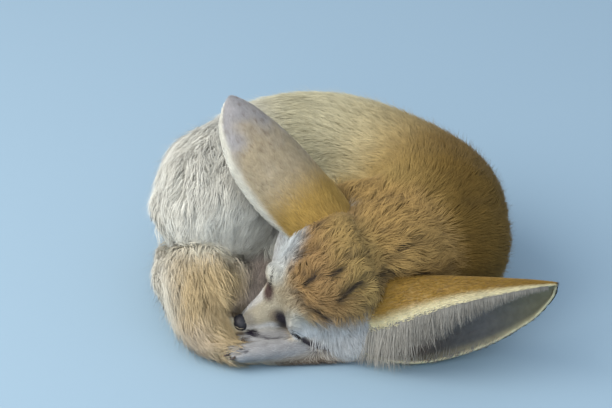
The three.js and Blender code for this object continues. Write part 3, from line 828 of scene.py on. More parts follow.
# %% [markdown]
# ## Skin piece and its material
# The skin shows only between the tufts, where it stands for the dense undercoat: soft
# wool of fine, matt hairs. It takes the coat's own colours, a little darker because
# light is lost between the hairs, and a fine bump breaks up its surface.

# %% Skin piece
MARK = "Mark"
UNDERCOAT_DARKNESS = 0.85


def put_colour(mesh, colours):
    layer = mesh.attributes.new(MARK, "FLOAT_COLOR", "POINT")
    rgba = np.ones((len(colours), 4), np.float32)
    rgba[:, :3] = colours
    layer.data.foreach_set("color", rgba.ravel())


def smooth_shaded(mesh):
    mesh.polygons.foreach_set("use_smooth", np.ones(len(mesh.polygons), bool))


skin_mesh.vertices.foreach_set("co", (drawn_in * MM).ravel())
skin_mesh.update()
put_colour(skin_mesh, coat_colour * (shade * UNDERCOAT_DARKNESS)[:, None])
smooth_shaded(skin_mesh)
# Undercoat: matt wool, with a coarse grain of 1.1 mm, as single hairs are too fine to show
WOOL_GRAIN = 1.11
undercoat, tree, shader = new_material(
    "soft_undercoat", Roughness=0.95, Specular_IOR_Level=0.1,
)
mark = add_node(tree, "ShaderNodeAttribute", {"attribute_name": MARK})
coords = add_node(tree, "ShaderNodeTexCoord")
grain = add_node(
    tree, "ShaderNodeTexNoise", {"Scale": pattern_scale(WOOL_GRAIN), "Detail": 3.0},
    Vector=coords.outputs["Object"],
)
bump = add_node(
    tree, "ShaderNodeBump", {"Strength": 0.6, "Distance": 0.8 * MM}, Height=grain.outputs["Fac"],
)
tree.links.new(mark.outputs["Color"], shader.inputs["Base Color"])
tree.links.new(bump.outputs["Normal"], shader.inputs["Normal"])
skin_mesh.materials.clear()
skin_mesh.materials.append(undercoat)
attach(skin, "root")
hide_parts(*[name for name in FLESH if name not in SEPARATE])
print("skin piece", len(skin_mesh.polygons), "faces")

# %% [markdown]
# ## Roots of the fur
# Hair particles would be lost in the exported model, so each tuft of hairs is a small
# solid of its own. Its root is a random place on the skin. Neighbours share a clump:
# their tips lean to its middle, as real fur sticks together in points.

# %% Scattering roots


def triangle_areas(places, triangles):
    corner = places[triangles]
    spans = np.cross(corner[:, 1] - corner[:, 0], corner[:, 2] - corner[:, 0])
    return np.linalg.norm(spans, axis=1) / 2


def scatter(places, triangles, density, rng):
    """Random roots on a mesh, as triangle numbers and weights of their corners."""
    expected = triangle_areas(places, triangles) * density[triangles].mean(1)
    count = np.floor(expected + rng.random(len(expected))).astype(int)
    index = np.repeat(np.arange(len(triangles)), count)
    first, second = rng.random((2, len(index)))
    flip = first + second > 1
    first[flip], second[flip] = 1 - first[flip], 1 - second[flip]
    return index, np.stack([1 - first - second, first, second], 1)


def place_tree(places):
    """A search tree that finds the nearest of the places by its number."""
    tree = KDTree(len(places))
    for number, place in enumerate(places):
        tree.insert(place, number)
    tree.balance()
    return tree


def clumps(roots, tufts_each, rng):
    """For each root the number of its clump and the way to the clump's middle."""
    chosen = rng.choice(len(roots), len(roots) // tufts_each, replace=False)
    tree = place_tree(roots[chosen])
    number = np.array([tree.find(root)[1] for root in roots])
    return number, roots[chosen][number] - roots


rng = np.random.default_rng(7)
print("skin area", round(triangle_areas(drawn_in, triangles).sum() / 100), "square cm")

# %% [markdown]
# ## A map for the fur
# To be baked, a piece needs a flat map. To unwrap each tuft would cut the map in
# thousands of crumbs. So a tuft gets one small patch at its root's place on a plain
# six-sided unwrap of the skin, and the map shows the coat's colours as six side views.

# %% The six-sided map
MAP_MARGIN = 4


def side_cells(points, facing):
    """Places on a map of six cells, one for each side that the surface faces."""
    lowest = np.array(cad_box[0]) / MM - MAP_MARGIN
    highest = np.array(cad_box[1]) / MM + MAP_MARGIN
    share = (points - lowest) / (highest - lowest).max()
    axis = np.abs(facing).argmax(1)
    sign = facing[np.arange(len(facing)), axis] > 0
    flat = np.where((axis == 0)[:, None], share[:, [1, 2]], share[:, [0, 2]])
    flat = np.where((axis == 2)[:, None], share[:, [0, 1]], flat)
    cell = np.stack([axis, sign.astype(int)], 1)
    return (cell + 0.02 + flat * 0.96) * np.array((1 / 3, 1 / 2))


print("map place of the crown", side_cells(head_at(70, 0, 25)[None], DORSAL[None]).round(2))

# %% [markdown]
# ## The shape of a tuft
# A tuft is a slim closed spike of three sides. It rises out of the skin, bends over
# with the lie of the coat and ends in a point. No operator makes thousands of bent
# spikes at once, so their few corners are worked out here for all tufts together.
# Each tuft is lit mostly as a part of the whole body, since light soaks through hair.

# %% Corners of the tufts
FLOOR_CLEARANCE = 0.3
PATCH_SIZE = 0.003
# How much more a tuft is lit as a part of the whole body than as a spike of its own
SOFT_FACING = 1.6


def tuft_corners(steps, start, bend, tip, up, width, root_colour, tip_colour, patch):
    """Places in mm, ways to face, colours and map places, with one row for each tuft.
    The tufts run from start to tip and have three corners at each step."""
    side_way = unit(np.cross(tip - start, up))
    crest_way = unit(np.cross(side_way, tip - start))
    count, per = len(start), len(steps) * 3 + 1
    verts, flat = np.empty((count, per, 3)), np.empty((count, per, 2))
    facing = np.repeat(up[:, None] * SOFT_FACING, per, axis=1)
    colour = np.empty((count, per, 3), np.float32)
    for ring, step in enumerate(steps):
        middle = start * (1 - step) ** 2 + bend * 2 * step * (1 - step) + tip * step ** 2
        slim = (1 - step ** 1.6) * (0.75 if ring == 0 else 1.0)
        half = side_way * (width * 0.5 * slim)[:, None]
        crest = crest_way * (width * 0.35 * slim)[:, None]
        for k, place in enumerate((middle - half, middle + half, middle + crest)):
            verts[:, ring * 3 + k] = place
            facing[:, ring * 3 + k] += (-side_way, side_way, crest_way)[k]
            colour[:, ring * 3 + k] = root_colour * (1 - step) + tip_colour * step
            flat[:, ring * 3 + k] = patch + PATCH_SIZE * np.array(((k - 1) * 0.4, step - 0.5))
    verts[:, -1] = tip
    colour[:, -1] = tip_colour
    flat[:, -1] = patch + PATCH_SIZE * np.array((0, 0.5))
    verts[:, :, 2] = np.maximum(verts[:, :, 2], FLOOR_CLEARANCE)
    return verts, unit(facing), colour, flat


def tuft_faces(rings):
    """The triangles of one closed tuft, as numbers of its corners."""
    faces = [(0, 1, 2)]
    for low_ring in range(0, rings * 3 - 3, 3):
        for k in range(3):
            n = (k + 1) % 3
            faces.append((low_ring + k, low_ring + n + 3, low_ring + n))
            faces.append((low_ring + k, low_ring + k + 3, low_ring + n + 3))
    last = rings * 3 - 3
    faces.extend((last + k, last + 3, last + (k + 1) % 3) for k in range(3))
    return np.array(faces)


print("a short tuft has", len(tuft_faces(2)), "triangles")

# %% [markdown]
# ## Pieces of fur
# The whole coat has more than a million triangles. One mesh of them would be too heavy
# to export, so the tufts are sorted from one side of the map to the other and cut into
# pieces of a limited size.

# %% Pieces of fur
TUFT_LIMIT = 190000


def tuft_mesh(name, steps, rows):
    verts, facing, colour, flat = tuft_corners(steps, **rows)
    count, per = verts.shape[:2]
    corners = (tuft_faces(len(steps))[None] + (np.arange(count) * per)[:, None, None]).reshape(-1)
    mesh = bpy.data.meshes.new(name)
    mesh.vertices.add(count * per)
    mesh.vertices.foreach_set("co", (verts * MM).ravel())
    mesh.loops.add(len(corners))
    mesh.loops.foreach_set("vertex_index", corners)
    mesh.polygons.add(len(corners) // 3)
    mesh.polygons.foreach_set("loop_start", np.arange(0, len(corners), 3))
    smooth_shaded(mesh)
    mesh.update(calc_edges=True)
    mesh.normals_split_custom_set_from_vertices(facing.reshape(-1, 3))
    put_colour(mesh, colour.reshape(-1, 3))
    uv = mesh.uv_layers.new(name="OFBake")
    uv.data.foreach_set("uv", flat.reshape(-1, 2)[corners].ravel())
    return mesh


def tuft_pieces(name, material, slot_name, steps, **rows):
    """Cuts the rows into pieces under the triangle limit and makes each one."""
    faces_each = len(tuft_faces(len(steps)))
    most = TUFT_LIMIT // faces_each
    total = len(rows["start"])
    order = np.argsort(rows["patch"][:, 0], kind="stable")
    for number in range(0, total, most):
        pick = order[number:number + most]
        piece_name = f"{name}_{number // most + 1}"
        mesh = tuft_mesh(piece_name, steps, {key: value[pick] for key, value in rows.items()})
        mesh.materials.append(material)
        piece = add_object(piece_name, mesh)
        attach(piece, "root")
    print(name, total, "tufts,", total * faces_each, "triangles")


print("a piece holds", TUFT_LIMIT // len(tuft_faces(2)), "short tufts")

# %% [markdown]
# ## The coat's material
# Hair is keratin: each strand is a smooth fibre that scatters light sideways, so a
# coat looks soft and slightly bright along its edges. A rough surface with a faint
# sheen gives that, and a soft noise makes some locks lighter than others.

# %% Fur material


def mottled(tree, shader, size_mm, low_value, high_value):
    """Links the markings, made lighter and darker by a noise, to the base colour."""
    mark = add_node(tree, "ShaderNodeAttribute", {"attribute_name": MARK})
    coords = add_node(tree, "ShaderNodeTexCoord")
    spots = add_node(
        tree, "ShaderNodeTexNoise", {"Scale": pattern_scale(size_mm), "Detail": 4.0},
        Vector=coords.outputs["Object"],
    )
    swing = add_node(tree, "ShaderNodeMapRange", {
        "From Min": 0.3, "From Max": 0.7, "To Min": low_value, "To Max": high_value,
    }, Value=spots.outputs["Fac"])
    tint = add_node(tree, "ShaderNodeVectorMath", {"operation": "MULTIPLY"})
    tree.links.new(mark.outputs["Color"], tint.inputs[0])
    tree.links.new(swing.outputs["Result"], tint.inputs[1])
    tree.links.new(tint.outputs["Vector"], shader.inputs["Base Color"])
    return spots


# Guard hair: keratin that shines little, in locks about 6 mm apart
LOCK_SIZE = 6.25
fur, tree, shader = new_material(
    "fine_guard_hair", Roughness=0.75, Specular_IOR_Level=0.12,
    Sheen_Weight=0.06, Sheen_Roughness=0.5,
)
mottled(tree, shader, LOCK_SIZE, 0.86, 1.1)
print("fur material ready")

# %% [markdown]
# ## Tips that hug the skin
# A straight tuft on a round back would stand off like a bristle. So each tip is first
# aimed along the lie and then brought down to the coat's own height above the nearest
# place of the skin. No tuft may cross the bare nose or the line of the closed eye.

# %% Tips and the bare face
EYE_LINE = EYE_PATHS["left"][1:] + CHEEK_FOLD[1:3]
NOSE_CLEARANCE = 7.5
OPEN_SIDE = unit((0, -0.88, 0.47))


def hugging_tips(aims, heights):
    """Brings the aimed tips down to their heights above the skin."""
    tips = np.empty_like(aims)
    for number, aim in enumerate(aims):
        place, normal, _, _ = skin_tree.find_nearest(Vector(aim))
        tips[number] = place + normal * heights[number]
    return tips


def on_skin(points):
    """The nearest places of the skin and its ways out there."""
    hits = [skin_tree.find_nearest(Vector(point)) for point in points]
    return np.array([hit[0][:] for hit in hits]), unit(np.array([hit[1][:] for hit in hits]))


def clear_of_face(bend, tips, head_share):
    """Which tufts leave the nose and the closed eye bare."""
    nose_far = np.minimum(*(np.linalg.norm(p - NOSE_MIDDLE, axis=1) for p in (tips, bend)))
    before_nose = np.maximum(*((p - NOSE_MIDDLE) @ OPEN_SIDE for p in (tips, bend)))
    clear = (nose_far > NOSE_CLEARANCE) | (before_nose < -3) | (head_share > 0.5)
    along_hair = (bend, (bend + tips) / 2, tips)
    return clear & (np.max([stroke(p, EYE_LINE, 2.0) for p in along_hair], axis=0) < 0.3)


print("the eye's line has", len(EYE_LINE), "stops")

# %% [markdown]
# ## Growing the coat
# Every root reads its coat from the skin around it: length, width, lie and colour. Then
# it varies a little by itself and a little with its whole clump, because hair that is
# all alike looks like plush.

# %% One layer of the coat


def turned(way, up, angle):
    """The way turned about `up` by an angle in radians."""
    return unit(way * np.cos(angle)[:, None] + np.cross(up, way) * np.sin(angle)[:, None])


def along_surface(way, up):
    return unit(way - up * (way * up).sum(1, keepdims=True))


def grow_coat(name, density, steps, longer, stand_range, thin, tufts_each):
    """Scatters one layer of the coat. `stand_range` gives the tips' height as shares
    of the coat's depth, and `longer` and `thin` change the hair's length and width."""
    index, weights = scatter(drawn_in, triangles, density, rng)

    def at_roots(values):
        corner_weights = weights[:, :, None] if values.ndim > 1 else weights
        return (values[triangles[index]] * corner_weights).sum(1)

    roots = at_roots(drawn_in)
    count = len(roots)
    number, to_middle = clumps(roots, tufts_each, rng)

    def by_clump(middle, swing):
        return rng.normal(middle, swing, number.max() + 1)[number]

    up = unit(at_roots(normals))
    gather = at_roots(clump)
    turn = by_clump(0, 1) * (0.08 + 0.3 * gather) + rng.normal(0, 0.12, count)
    way = turned(along_surface(at_roots(lie), up), up, turn)
    length = at_roots(hair_length) * longer * rng.uniform(0.7, 1.1, count)
    stand = rng.uniform(*stand_range, count) * by_clump(1, 0.07)
    height = at_roots(height_over) * stand * (1 - 0.6 * at_roots(shaded_parting))
    tips = hugging_tips(roots + way * length[:, None] + to_middle * gather[:, None], height)
    bend = roots + up * (height * 0.9)[:, None] + (tips - roots) * 0.3
    tone = rng.normal(1, 0.05, count) * (1 + (0.02 + 0.12 * gather) * by_clump(0, 1))
    colour = at_roots(coat_colour) * tone[:, None]
    rows = dict(
        start=roots - up * 0.4, bend=bend, tip=tips, up=up,
        width=at_roots(hair_width) * thin * rng.uniform(0.7, 1.2, count),
        root_colour=colour * at_roots(shade)[:, None], tip_colour=np.minimum(colour * 1.08, 0.95),
        patch=side_cells(roots, up),
    )
    clear = clear_of_face(bend, tips, at_roots(masks["head"]))
    tuft_pieces(name, fur, "back_coat", steps, **{key: value[clear] for key, value in rows.items()})


print("layers ready for", round(float(hair_density.mean()), 2), "tufts a square mm")

# %% [markdown]
# ## Main coat and the edge of the tail
# The main coat covers the whole skin but leaves the nose pad, the sole and the grooves
# free. Longer hair stands along the tail's inner edge, where it crosses in front of the
# belly, as a fennec's brush is fullest there.

# %% Main coat
COAT_THICKNESS = 0.86
TAIL_EDGE = ((-62, -60, 30), (-62, -72, 30), (-62, -84, 28), (-62, -93, 22))
on_pad = spread((part_names == "nose_pad").astype(float), edges, 3)
shown = smooth(drawn_in[:, 2], 1.0, 5.0) * (1 - smooth(on_pad, 0.2, 0.6))
bare_line = np.max([
    grooves["mouth"], grooves["chin"], grooves["toes"], 0.6 * grooves["fold"], 0.85 * opened,
], axis=0)
open_skin = shown * (1 - 0.95 * bare_line)
grow_coat(
    "coat", hair_density * COAT_THICKNESS * open_skin, (0.0, 0.5), 1.0, (0.7, 1.15), 1.0, 12,
)
edge_of_tail = np.max([zone(drawn_in, at(*place), (9, 9, 12)) for place in TAIL_EDGE], axis=0)
grow_coat("tail_edge", 1.2 * edge_of_tail * masks["tail"], (0.0, 0.5), 1.2, (1.2, 2.4), 1.0, 12)

# %% [markdown]
# ## Hair behind the nose
# The muzzle rests against the tail, and long hair of the tail hangs down behind the
# nose and closes the gap. It starts on the skin near one place and falls with a slight
# scatter. Last come the few thin hairs that stand out of every coat.

# %% Hair behind the nose and stray hairs
HANGING_TUFTS = 420
start, up = on_skin(at(-56, -77, 20) + rng.normal(0, 1, (HANGING_TUFTS, 3)) * (4.5, 2.5, 2.0))
way = unit(np.array((0, -0.45, -1.0)) + rng.normal(0, 0.18, (HANGING_TUFTS, 3)))
long = rng.uniform(8, 13, HANGING_TUFTS)[:, None]
tone = PALETTE["tail_low"] * rng.uniform(0.75, 1.0, HANGING_TUFTS)[:, None]
tuft_pieces(
    "behind_nose", fur, "back_coat", (0.0, 0.5),
    start=start - up * 0.4, bend=start + way * long * 0.4 + up * 1.5, tip=start + way * long,
    up=up, width=np.full(HANGING_TUFTS, 0.5), root_colour=tone * 0.9, tip_colour=tone,
    patch=side_cells(start, up),
)
stray = 0.2 * open_skin * (1 - masks["head"] * 0.8)
grow_coat("fuzz", stray, (0.0,), 1.1, (1.2, 2.1), 0.6, 3)

# %% [markdown]
# ## The ears
# A fennec's ear is a thin leaf of cartilage and skin, curled to a tube at its base and
# open towards the tip. It could be sculpted, but a flat grid that is bent over a curling
# sweep keeps clean margins and gives each place a column across the ear and a row along
# it. First come the numbers: stations from base to tip, and the two ears' own poses.

# %% Stations and poses of the ears
EAR_RADII = (0.84, 0.95, 1.02, 1.06, 1.04, 0.94, 0.7, 0.42)
EAR_BENDS = (2.5, 2.3, 1.95, 1.65, 1.42, 1.28, 1.15, 1.0)
EAR_BASE_RADIUS = 21
EAR_MOST_BEND = 2.9
EAR_ROUND_FROM = 0.86
# Each margin has its curl and its width at the base and at the tip
EARS = {
    "ear_right": dict(
        root=head_at(84, -20, 6), tip=at(-60, -35, 136), opening=(-0.62, 0.62, -0.1),
        fore=(1.0, 0.8, 1.42), hind=(1.0, 1.0, 1.0), bow=-3.0,
    ),
    "ear_left": dict(
        root=at(10, -75, 36), tip=at(131, -110.5, 52), opening=(-0.03, -1.0, -0.5),
        fore=(1.27, 1.56, 1.56), hind=(1.36, 1.29, 1.29), bow=0.95,
    ),
}


for name, ear in EARS.items():
    print(name, "is", round(float(np.linalg.norm(ear["tip"] - ear["root"]))), "mm long")

# %% [markdown]
# ## The sweep of an ear
# Along the ear, a row of stations gives the radius of the curl and how far the margins
# bend round. Each cross-section is an arc about the ear's axis, open to the front. Near
# the tip the arcs shrink along a quarter circle, which rounds the tip off.

# %% The sweep of an ear


def stations(values, row):
    """Reads a row of stations with rounded corners between them."""
    shares = np.linspace(0, 1, len(values))
    near = [np.interp(np.clip(row + step, 0, 1), shares, values) for step in (-0.05, 0, 0.05)]
    return sum(near) / 3


def ear_axes(ear):
    along = unit(ear["tip"] - ear["root"])
    opening = np.array(ear["opening"], float)
    opening = unit(opening - along * (opening @ along))
    return along, opening, unit(np.cross(along, opening))


def ear_place(ear, column, row):
    """A place on the back of an ear. Column 0 is its hind margin and 1 its fore one."""
    along, opening, across = ear_axes(ear)
    curl, wide, tip_wide = np.where(column[:, None] > 0.5, ear["fore"], ear["hind"]).T
    past = np.maximum(row - EAR_ROUND_FROM, 0) / (1 - EAR_ROUND_FROM)
    rounded = np.sqrt(np.clip(1 - past ** 2, 0, 1))
    radius = EAR_BASE_RADIUS * stations(EAR_RADII, row) * (wide + (tip_wide - wide) * row) / curl
    radius = radius * np.maximum(rounded, 0.02)
    turn = (column * 2 - 1) * np.minimum(stations(EAR_BENDS, row) * curl, EAR_MOST_BEND)
    length = np.linalg.norm(ear["tip"] - ear["root"])
    out = radius * (1 - np.cos(turn)) + ear["bow"] * np.sin(np.pi * row)
    return (
        ear["root"] + np.outer(row * length, along)
        + np.outer(radius * np.sin(turn), across) + np.outer(out, opening)
    )


ear_middles = [ear_place(ear, np.array([0.5]), np.array([0.5]))[0] for ear in EARS.values()]
print("middles of the ears at", np.round(ear_middles))

# %% [markdown]
# ## Colours of the ears
# The ear that lies along the floor is golden to its tip, in a darker gold that carries
# painted shade, and the standing one fades from gold to a greyish pink. Both have pale
# margins. The bare cup is pink skin that turns a cool grey-blue of painted shade towards
# the tip, and painted shade darkens it into the depth of the ear.

# %% Colours of the ears


def ear_markings(name, places, column, row):
    """The colour of an ear's back and how far each place belongs to the pale margin."""
    c = PALETTE
    standing = 0.0 if name == "ear_left" else 1.0
    margin = np.maximum(1 - smooth(column, 0.03, 0.11), smooth(column, 0.86, 0.95))
    greying = smooth(row + ripple(places, 12, 8) * 0.2, 0.5, 0.95)
    flecks = smooth(ripple(places, 2.2, 9), 0.25, 0.5) * smooth(row, 0.2, 0.5) * 0.4
    # Painted shade: the ear that lies low gets a darker gold
    colour = blend(c["low_ear_gold_and_shade"], c["ear_base"], np.full(len(row), standing))
    colour = blend(colour, c["ear_back"], standing * smooth(row, 0.2, 0.5))
    colour = blend(colour, c["ear_tip"], standing * greying)
    colour = blend(colour, c["brown"], flecks)
    return blend(colour, blend(c["rim"], c["white"], 0.6 * standing), margin), margin


def cup_colour(column, row):
    c = PALETTE
    # Painted shade: the lining turns a cool grey-blue towards the tip
    lining = blend(c["ear_pink"], c["ear_blue_shade"], smooth(row, 0.1, 0.5))
    # Painted shade darkens the middle of the cup, deep in the ear
    depth = 1 - smooth(np.abs(column - 0.5), 0.05, 0.3)
    lining = blend(lining, c["ear_cup_shade"], 0.7 * depth)
    lining = blend(lining, c["ear_far"], smooth(row, 0.6, 0.95))
    pale_edge = np.maximum(1 - smooth(column, 0, 0.09), smooth(column, 0.91, 1))
    return blend(lining, c["rim"], pale_edge * 0.7)


print("cup in the middle", cup_colour(np.array([0.5]), np.array([0.5])).round(2))

# %% [markdown]
# ## Ear leather
# The flat grid is bent to the ear's shape, turned so that its back faces outwards, and
# thickened to the 1.5 mm of a real ear. Afterwards each vertex looks up the nearest
# place of the first grid, which tells its column, its row and whether it is inside.

# %% Ear leather
EAR_SKIN_THICKNESS = 1.5
HALF_COLUMN = np.array([0.5])


def bent_ear(name, ear):
    """The thick leather of an ear, with the places and the columns and rows of its back."""
    shape = bmesh.new()
    bmesh.ops.create_grid(shape, x_segments=40, y_segments=60, size=0.5)
    flat_places = np.array([v.co[:2] for v in shape.verts]) + 0.5
    back_places = ear_place(ear, flat_places[:, 0], flat_places[:, 1])
    for vertex, place in zip(shape.verts, back_places):
        vertex.co = Vector(place * MM)
    bmesh.ops.recalc_face_normals(shape, faces=shape.faces)
    shape.normal_update()
    middle = Vector(ear_place(ear, HALF_COLUMN, HALF_COLUMN)[0] * MM)
    middle_face = min(shape.faces, key=lambda f: (f.calc_center_median() - middle).length)
    if middle_face.normal.dot(Vector(ear_axes(ear)[1])) > 0:
        bmesh.ops.reverse_faces(shape, faces=shape.faces)
    bmesh.ops.solidify(shape, geom=shape.faces[:], thickness=EAR_SKIN_THICKNESS * MM)
    bmesh.ops.recalc_face_normals(shape, faces=shape.faces)
    mesh = bpy.data.meshes.new(name + "_leather")
    shape.to_mesh(mesh)
    shape.free()
    return mesh, back_places, flat_places


for name, ear in EARS.items():
    mesh, back_places, flat_places = bent_ear(name, ear)
    smooth_shaded(mesh)
    tree = place_tree(back_places)
    hits = [tree.find(vertex.co / MM) for vertex in mesh.vertices]
    nearest = [hit[1] for hit in hits]
    column, row = flat_places[nearest].T
    inside = np.array([hit[2] for hit in hits]) > 0.5
    colour = ear_markings(name, back_places[nearest], column, row)[0] * 0.92
    put_colour(mesh, np.where(inside[:, None], cup_colour(column, row), colour))
    ear["mesh"] = mesh
    print(name, len(mesh.polygons), "faces", int(inside.sum()), "inner vertices")

# %% [markdown]
# ## Ear material
# The leather of an ear is living skin over thin cartilage. Light sinks in and warms it,
# so the shader gets a little subsurface scattering, redder than blue. Fine veins and
# pores make it uneven.

# %% Ear material
# Skin: soft gloss, with mottles of about 4 mm, as wide as the meshes of the veins
VEIN_MESH = 3.85
ear_skin, tree, shader = new_material(
    "thin_ear_skin", Roughness=0.65, Subsurface_Weight=0.15,
    Subsurface_Radius=(0.004, 0.002, 0.001), Subsurface_Scale=1.0,
)
veins = mottled(tree, shader, VEIN_MESH, 0.85, 1.1)
bump = add_node(
    tree, "ShaderNodeBump", {"Strength": 0.4, "Distance": 0.6 * MM}, Height=veins.outputs["Fac"],
)
tree.links.new(bump.outputs["Normal"], shader.inputs["Normal"])
for name, ear in EARS.items():
    ear["mesh"].materials.append(ear_skin)
    piece = add_object(name + "_leather", ear["mesh"])
    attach(piece, "root")
    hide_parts(name)
print("ears", list(EARS))

# %% [markdown]
# ## Short fur of the ears
# The back of an ear has the shortest fur of all. It points to the tip, lies almost flat
# and grows longer where the ear leaves the head, so that the two coats meet softly.

# %% Short fur on the backs and rims
EAR_FUR = dict(ear_right=15000, ear_left=13000)


def ear_frame(ear, column, row):
    """Places on the back of an ear with the ways out of it, to the tip and across."""
    places = ear_place(ear, column, row)
    before, after = row - 0.02, np.minimum(row + 0.02, 1)
    to_tip = unit(ear_place(ear, column, after) - ear_place(ear, column, before))
    across = unit(ear_place(ear, column + 0.01, row) - ear_place(ear, column - 0.01, row))
    out = unit(np.cross(to_tip, across))
    inside_ear = ear_place(ear, np.full(len(row), 0.5), row) + ear_axes(ear)[1] * 12
    out = np.where(((out * (places - inside_ear)).sum(1) < 0)[:, None], -out, out)
    return places, out, to_tip, across


for name, ear in EARS.items():
    count = EAR_FUR[name]
    column, row = rng.uniform(0.0, 1.0, count), rng.uniform(0.02, 0.985, count) ** 0.9
    places, out, to_tip, across = ear_frame(ear, column, row)
    base = 1 - smooth(row, 0.1, 0.42)
    colour, margin = ear_markings(name, places, column, row)
    length = rng.uniform(2.2, 3.6, count) + base * rng.uniform(1, 8, count) * (1 - margin)
    turn = rng.normal(0, 0.25, count) * (1 - 0.6 * margin)
    way = unit(to_tip * np.cos(turn)[:, None] + across * np.sin(turn)[:, None])
    height = 0.5 + length * 0.1 + base * rng.uniform(0, 1.2, count)
    colour = colour * rng.normal(1, 0.08, count)[:, None]
    tuft_pieces(
        name + "_fur", fur, "back_coat", (0.0, 0.5),
        start=places - out * 0.2,
        bend=places + way * (length * 0.4)[:, None] + out * (height * 1.1)[:, None],
        tip=places + way * length[:, None] + out * height[:, None], up=out,
        width=rng.uniform(0.3, 0.46, count) + base * 0.08,
        root_colour=colour * 0.85, tip_colour=np.minimum(colour * 1.08, 0.95),
        patch=side_cells(places, out),
    )

# %% [markdown]
# ## Hairs over the cups
# Long pale hairs stand along the margins and hang over the cup, where they keep the
# sand out. They follow the same way of tufts, only longer, with more steps so that they
# bend smoothly, and they fall towards the floor on the ear that lies low.

# %% Long hairs over the cups
FRINGE_BAND = 0.012
FRINGE = {
    # margin, how many, first and last row, length in mm, lean to the tip, droop
    "ear_left": ((0.0, 2600, 0.0, 0.97, 36, 0.3, 5.0), (1.0, 420, 0.05, 0.9, 13, 0.5, 0.0)),
    "ear_right": ((0.0, 300, 0.12, 0.85, 13, 0.8, 0.3), (1.0, 700, 0.1, 0.95, 12, 0.7, 0.3)),
}


def grow_fringe(name, margin, count, first, last, long, lean, droop):
    ear = EARS[name]
    opening = ear_axes(ear)[1]
    row = rng.uniform(first, last, count)
    column = np.abs(margin - np.abs(rng.normal(0, FRINGE_BAND, count)))
    places, out, to_tip, _ = ear_frame(ear, column, row)
    to_middle = unit(ear_place(ear, np.full(count, 0.5), row) + opening * 14 - places)
    length = long * rng.uniform(0.45, 1.05, count) * (1 - 0.9 * smooth(row, 0.1, 1.0))
    way = to_middle * 0.6 + to_tip * (lean * (row * 2.4 - 0.5))[:, None]
    way = unit(way + rng.normal(0, 0.18, (count, 3)) + opening * 0.2 * droop)
    way = unit(unit(way + np.array((0, 0, -1.0)) * droop) + rng.normal(0, 0.1, (count, 3)))
    # No hair may be so long that it reaches the floor
    length = np.minimum(length, (places[:, 2] - 2) / np.maximum(-way[:, 2], 0.05))
    rise = unit(way + opening * 0.9 + rng.normal(0, 0.16, (count, 3)))
    tone = (rng.uniform(0.7, 1.05, count) * (1 - 0.3 * smooth(row, 0.15, 0.5)))[:, None]
    tuft_pieces(
        f"{name}_fringe_{int(margin)}", fur, "back_coat", (0.0, 0.3, 0.6, 0.85),
        start=places, bend=places + rise * (length * 0.45)[:, None],
        tip=places + way * length[:, None], up=np.tile(unit(opening + (0, 0, 1.0)), (count, 1)),
        width=rng.uniform(0.3, 0.5, count), root_colour=PALETTE["fringe"] * tone * 0.85,
        tip_colour=PALETTE["fringe"] * tone, patch=side_cells(places, out),
    )


for name, fringes in FRINGE.items():
    for fringe in fringes:
        grow_fringe(name, *fringe)

# %% [markdown]
# ## The nose
# The pad is bare leather with a fine pebble grain. It is kept moist, so it is dark and
# has the only clear highlight of the face. A ball is stretched to the pad's size and
# pressed in at the two nostrils and along the groove between them.

# %% Nose pad
NOSE_SIZE = (4.9, 5.4, 4.4)
NOSTRIL_DEPTH = 1.9
NOSE_GROOVE_DEPTH = 0.5
NOSE_CENTRE = head_at(2.2, 0, 1.8)


def nose_place(x, y, z):
    """A place of a unit ball, moved to the nose pad and pressed in at the nostrils."""
    long, wide, high = NOSE_SIZE
    place = NOSE_CENTRE + FORWARD * long * x + LEFT * wide * y + DORSAL * high * z
    _, left, above = head_coordinates(place[None])
    left, above = left[0], above[0]
    for side in (1, -1):
        far = math.hypot((left - side * 2.7) / 1.3, above - 1.4 - 0.2 * side * left)
        place = place - FORWARD * NOSTRIL_DEPTH * math.exp(-far ** 2) * (x > -0.2)
    groove = math.exp(-(left / 0.5) ** 2) * (x > 0) * (above < 2)
    return place - FORWARD * NOSE_GROOVE_DEPTH * groove


shape = bmesh.new()
bmesh.ops.create_uvsphere(shape, u_segments=40, v_segments=28, radius=1)
for vertex in shape.verts:
    vertex.co = Vector(nose_place(*vertex.co) * MM)
nose_mesh = bpy.data.meshes.new("nose_leather")
shape.to_mesh(nose_mesh)
shape.free()
smooth_shaded(nose_mesh)
nose = add_object("nose_leather", nose_mesh)
# Moist leather: dark, with a soft highlight broken up by pebbles of 0.7 mm
PEBBLE = 0.714
nose_skin, tree, shader = new_material(
    "moist_nose_leather", Base_Color=(*linear("23242c"), 1), Roughness=0.38,
)
coords = add_node(tree, "ShaderNodeTexCoord")
pebble = add_node(
    tree, "ShaderNodeTexVoronoi", {"Scale": pattern_scale(PEBBLE)}, Vector=coords.outputs["Object"],
)
bump = add_node(
    tree, "ShaderNodeBump", {"Strength": 0.5, "Distance": 0.3 * MM},
    Height=pebble.outputs["Distance"],
)
tree.links.new(bump.outputs["Normal"], shader.inputs["Normal"])
nose_mesh.materials.append(nose_skin)
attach(nose, "root")
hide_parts("nose_pad")
print("nose pad", len(nose_mesh.polygons), "faces")

# %% [markdown]
# ## Closed lids
# The eyes are shut, and two lids meet in a dark curved slit. Balls with lids could be
# set into the head, but a thin patch laid on the skin along the eye's path stays seated
# from every side. The path has four stops, joined here by one smooth curve.

# %% The path of a closed eye


def smooth_path(path, shares):
    """Places along a path of four stops, as a Bezier curve through its ends."""
    first, second, third, fourth = path
    out_handle = (-5 * first + 18 * second - 9 * third + 2 * fourth) / 6
    in_handle = (2 * first - 9 * second + 18 * third - 5 * fourth) / 6
    s = shares[:, None]
    return (
        first * (1 - s) ** 3 + 3 * out_handle * s * (1 - s) ** 2
        + 3 * in_handle * s ** 2 * (1 - s) + fourth * s ** 3
    )


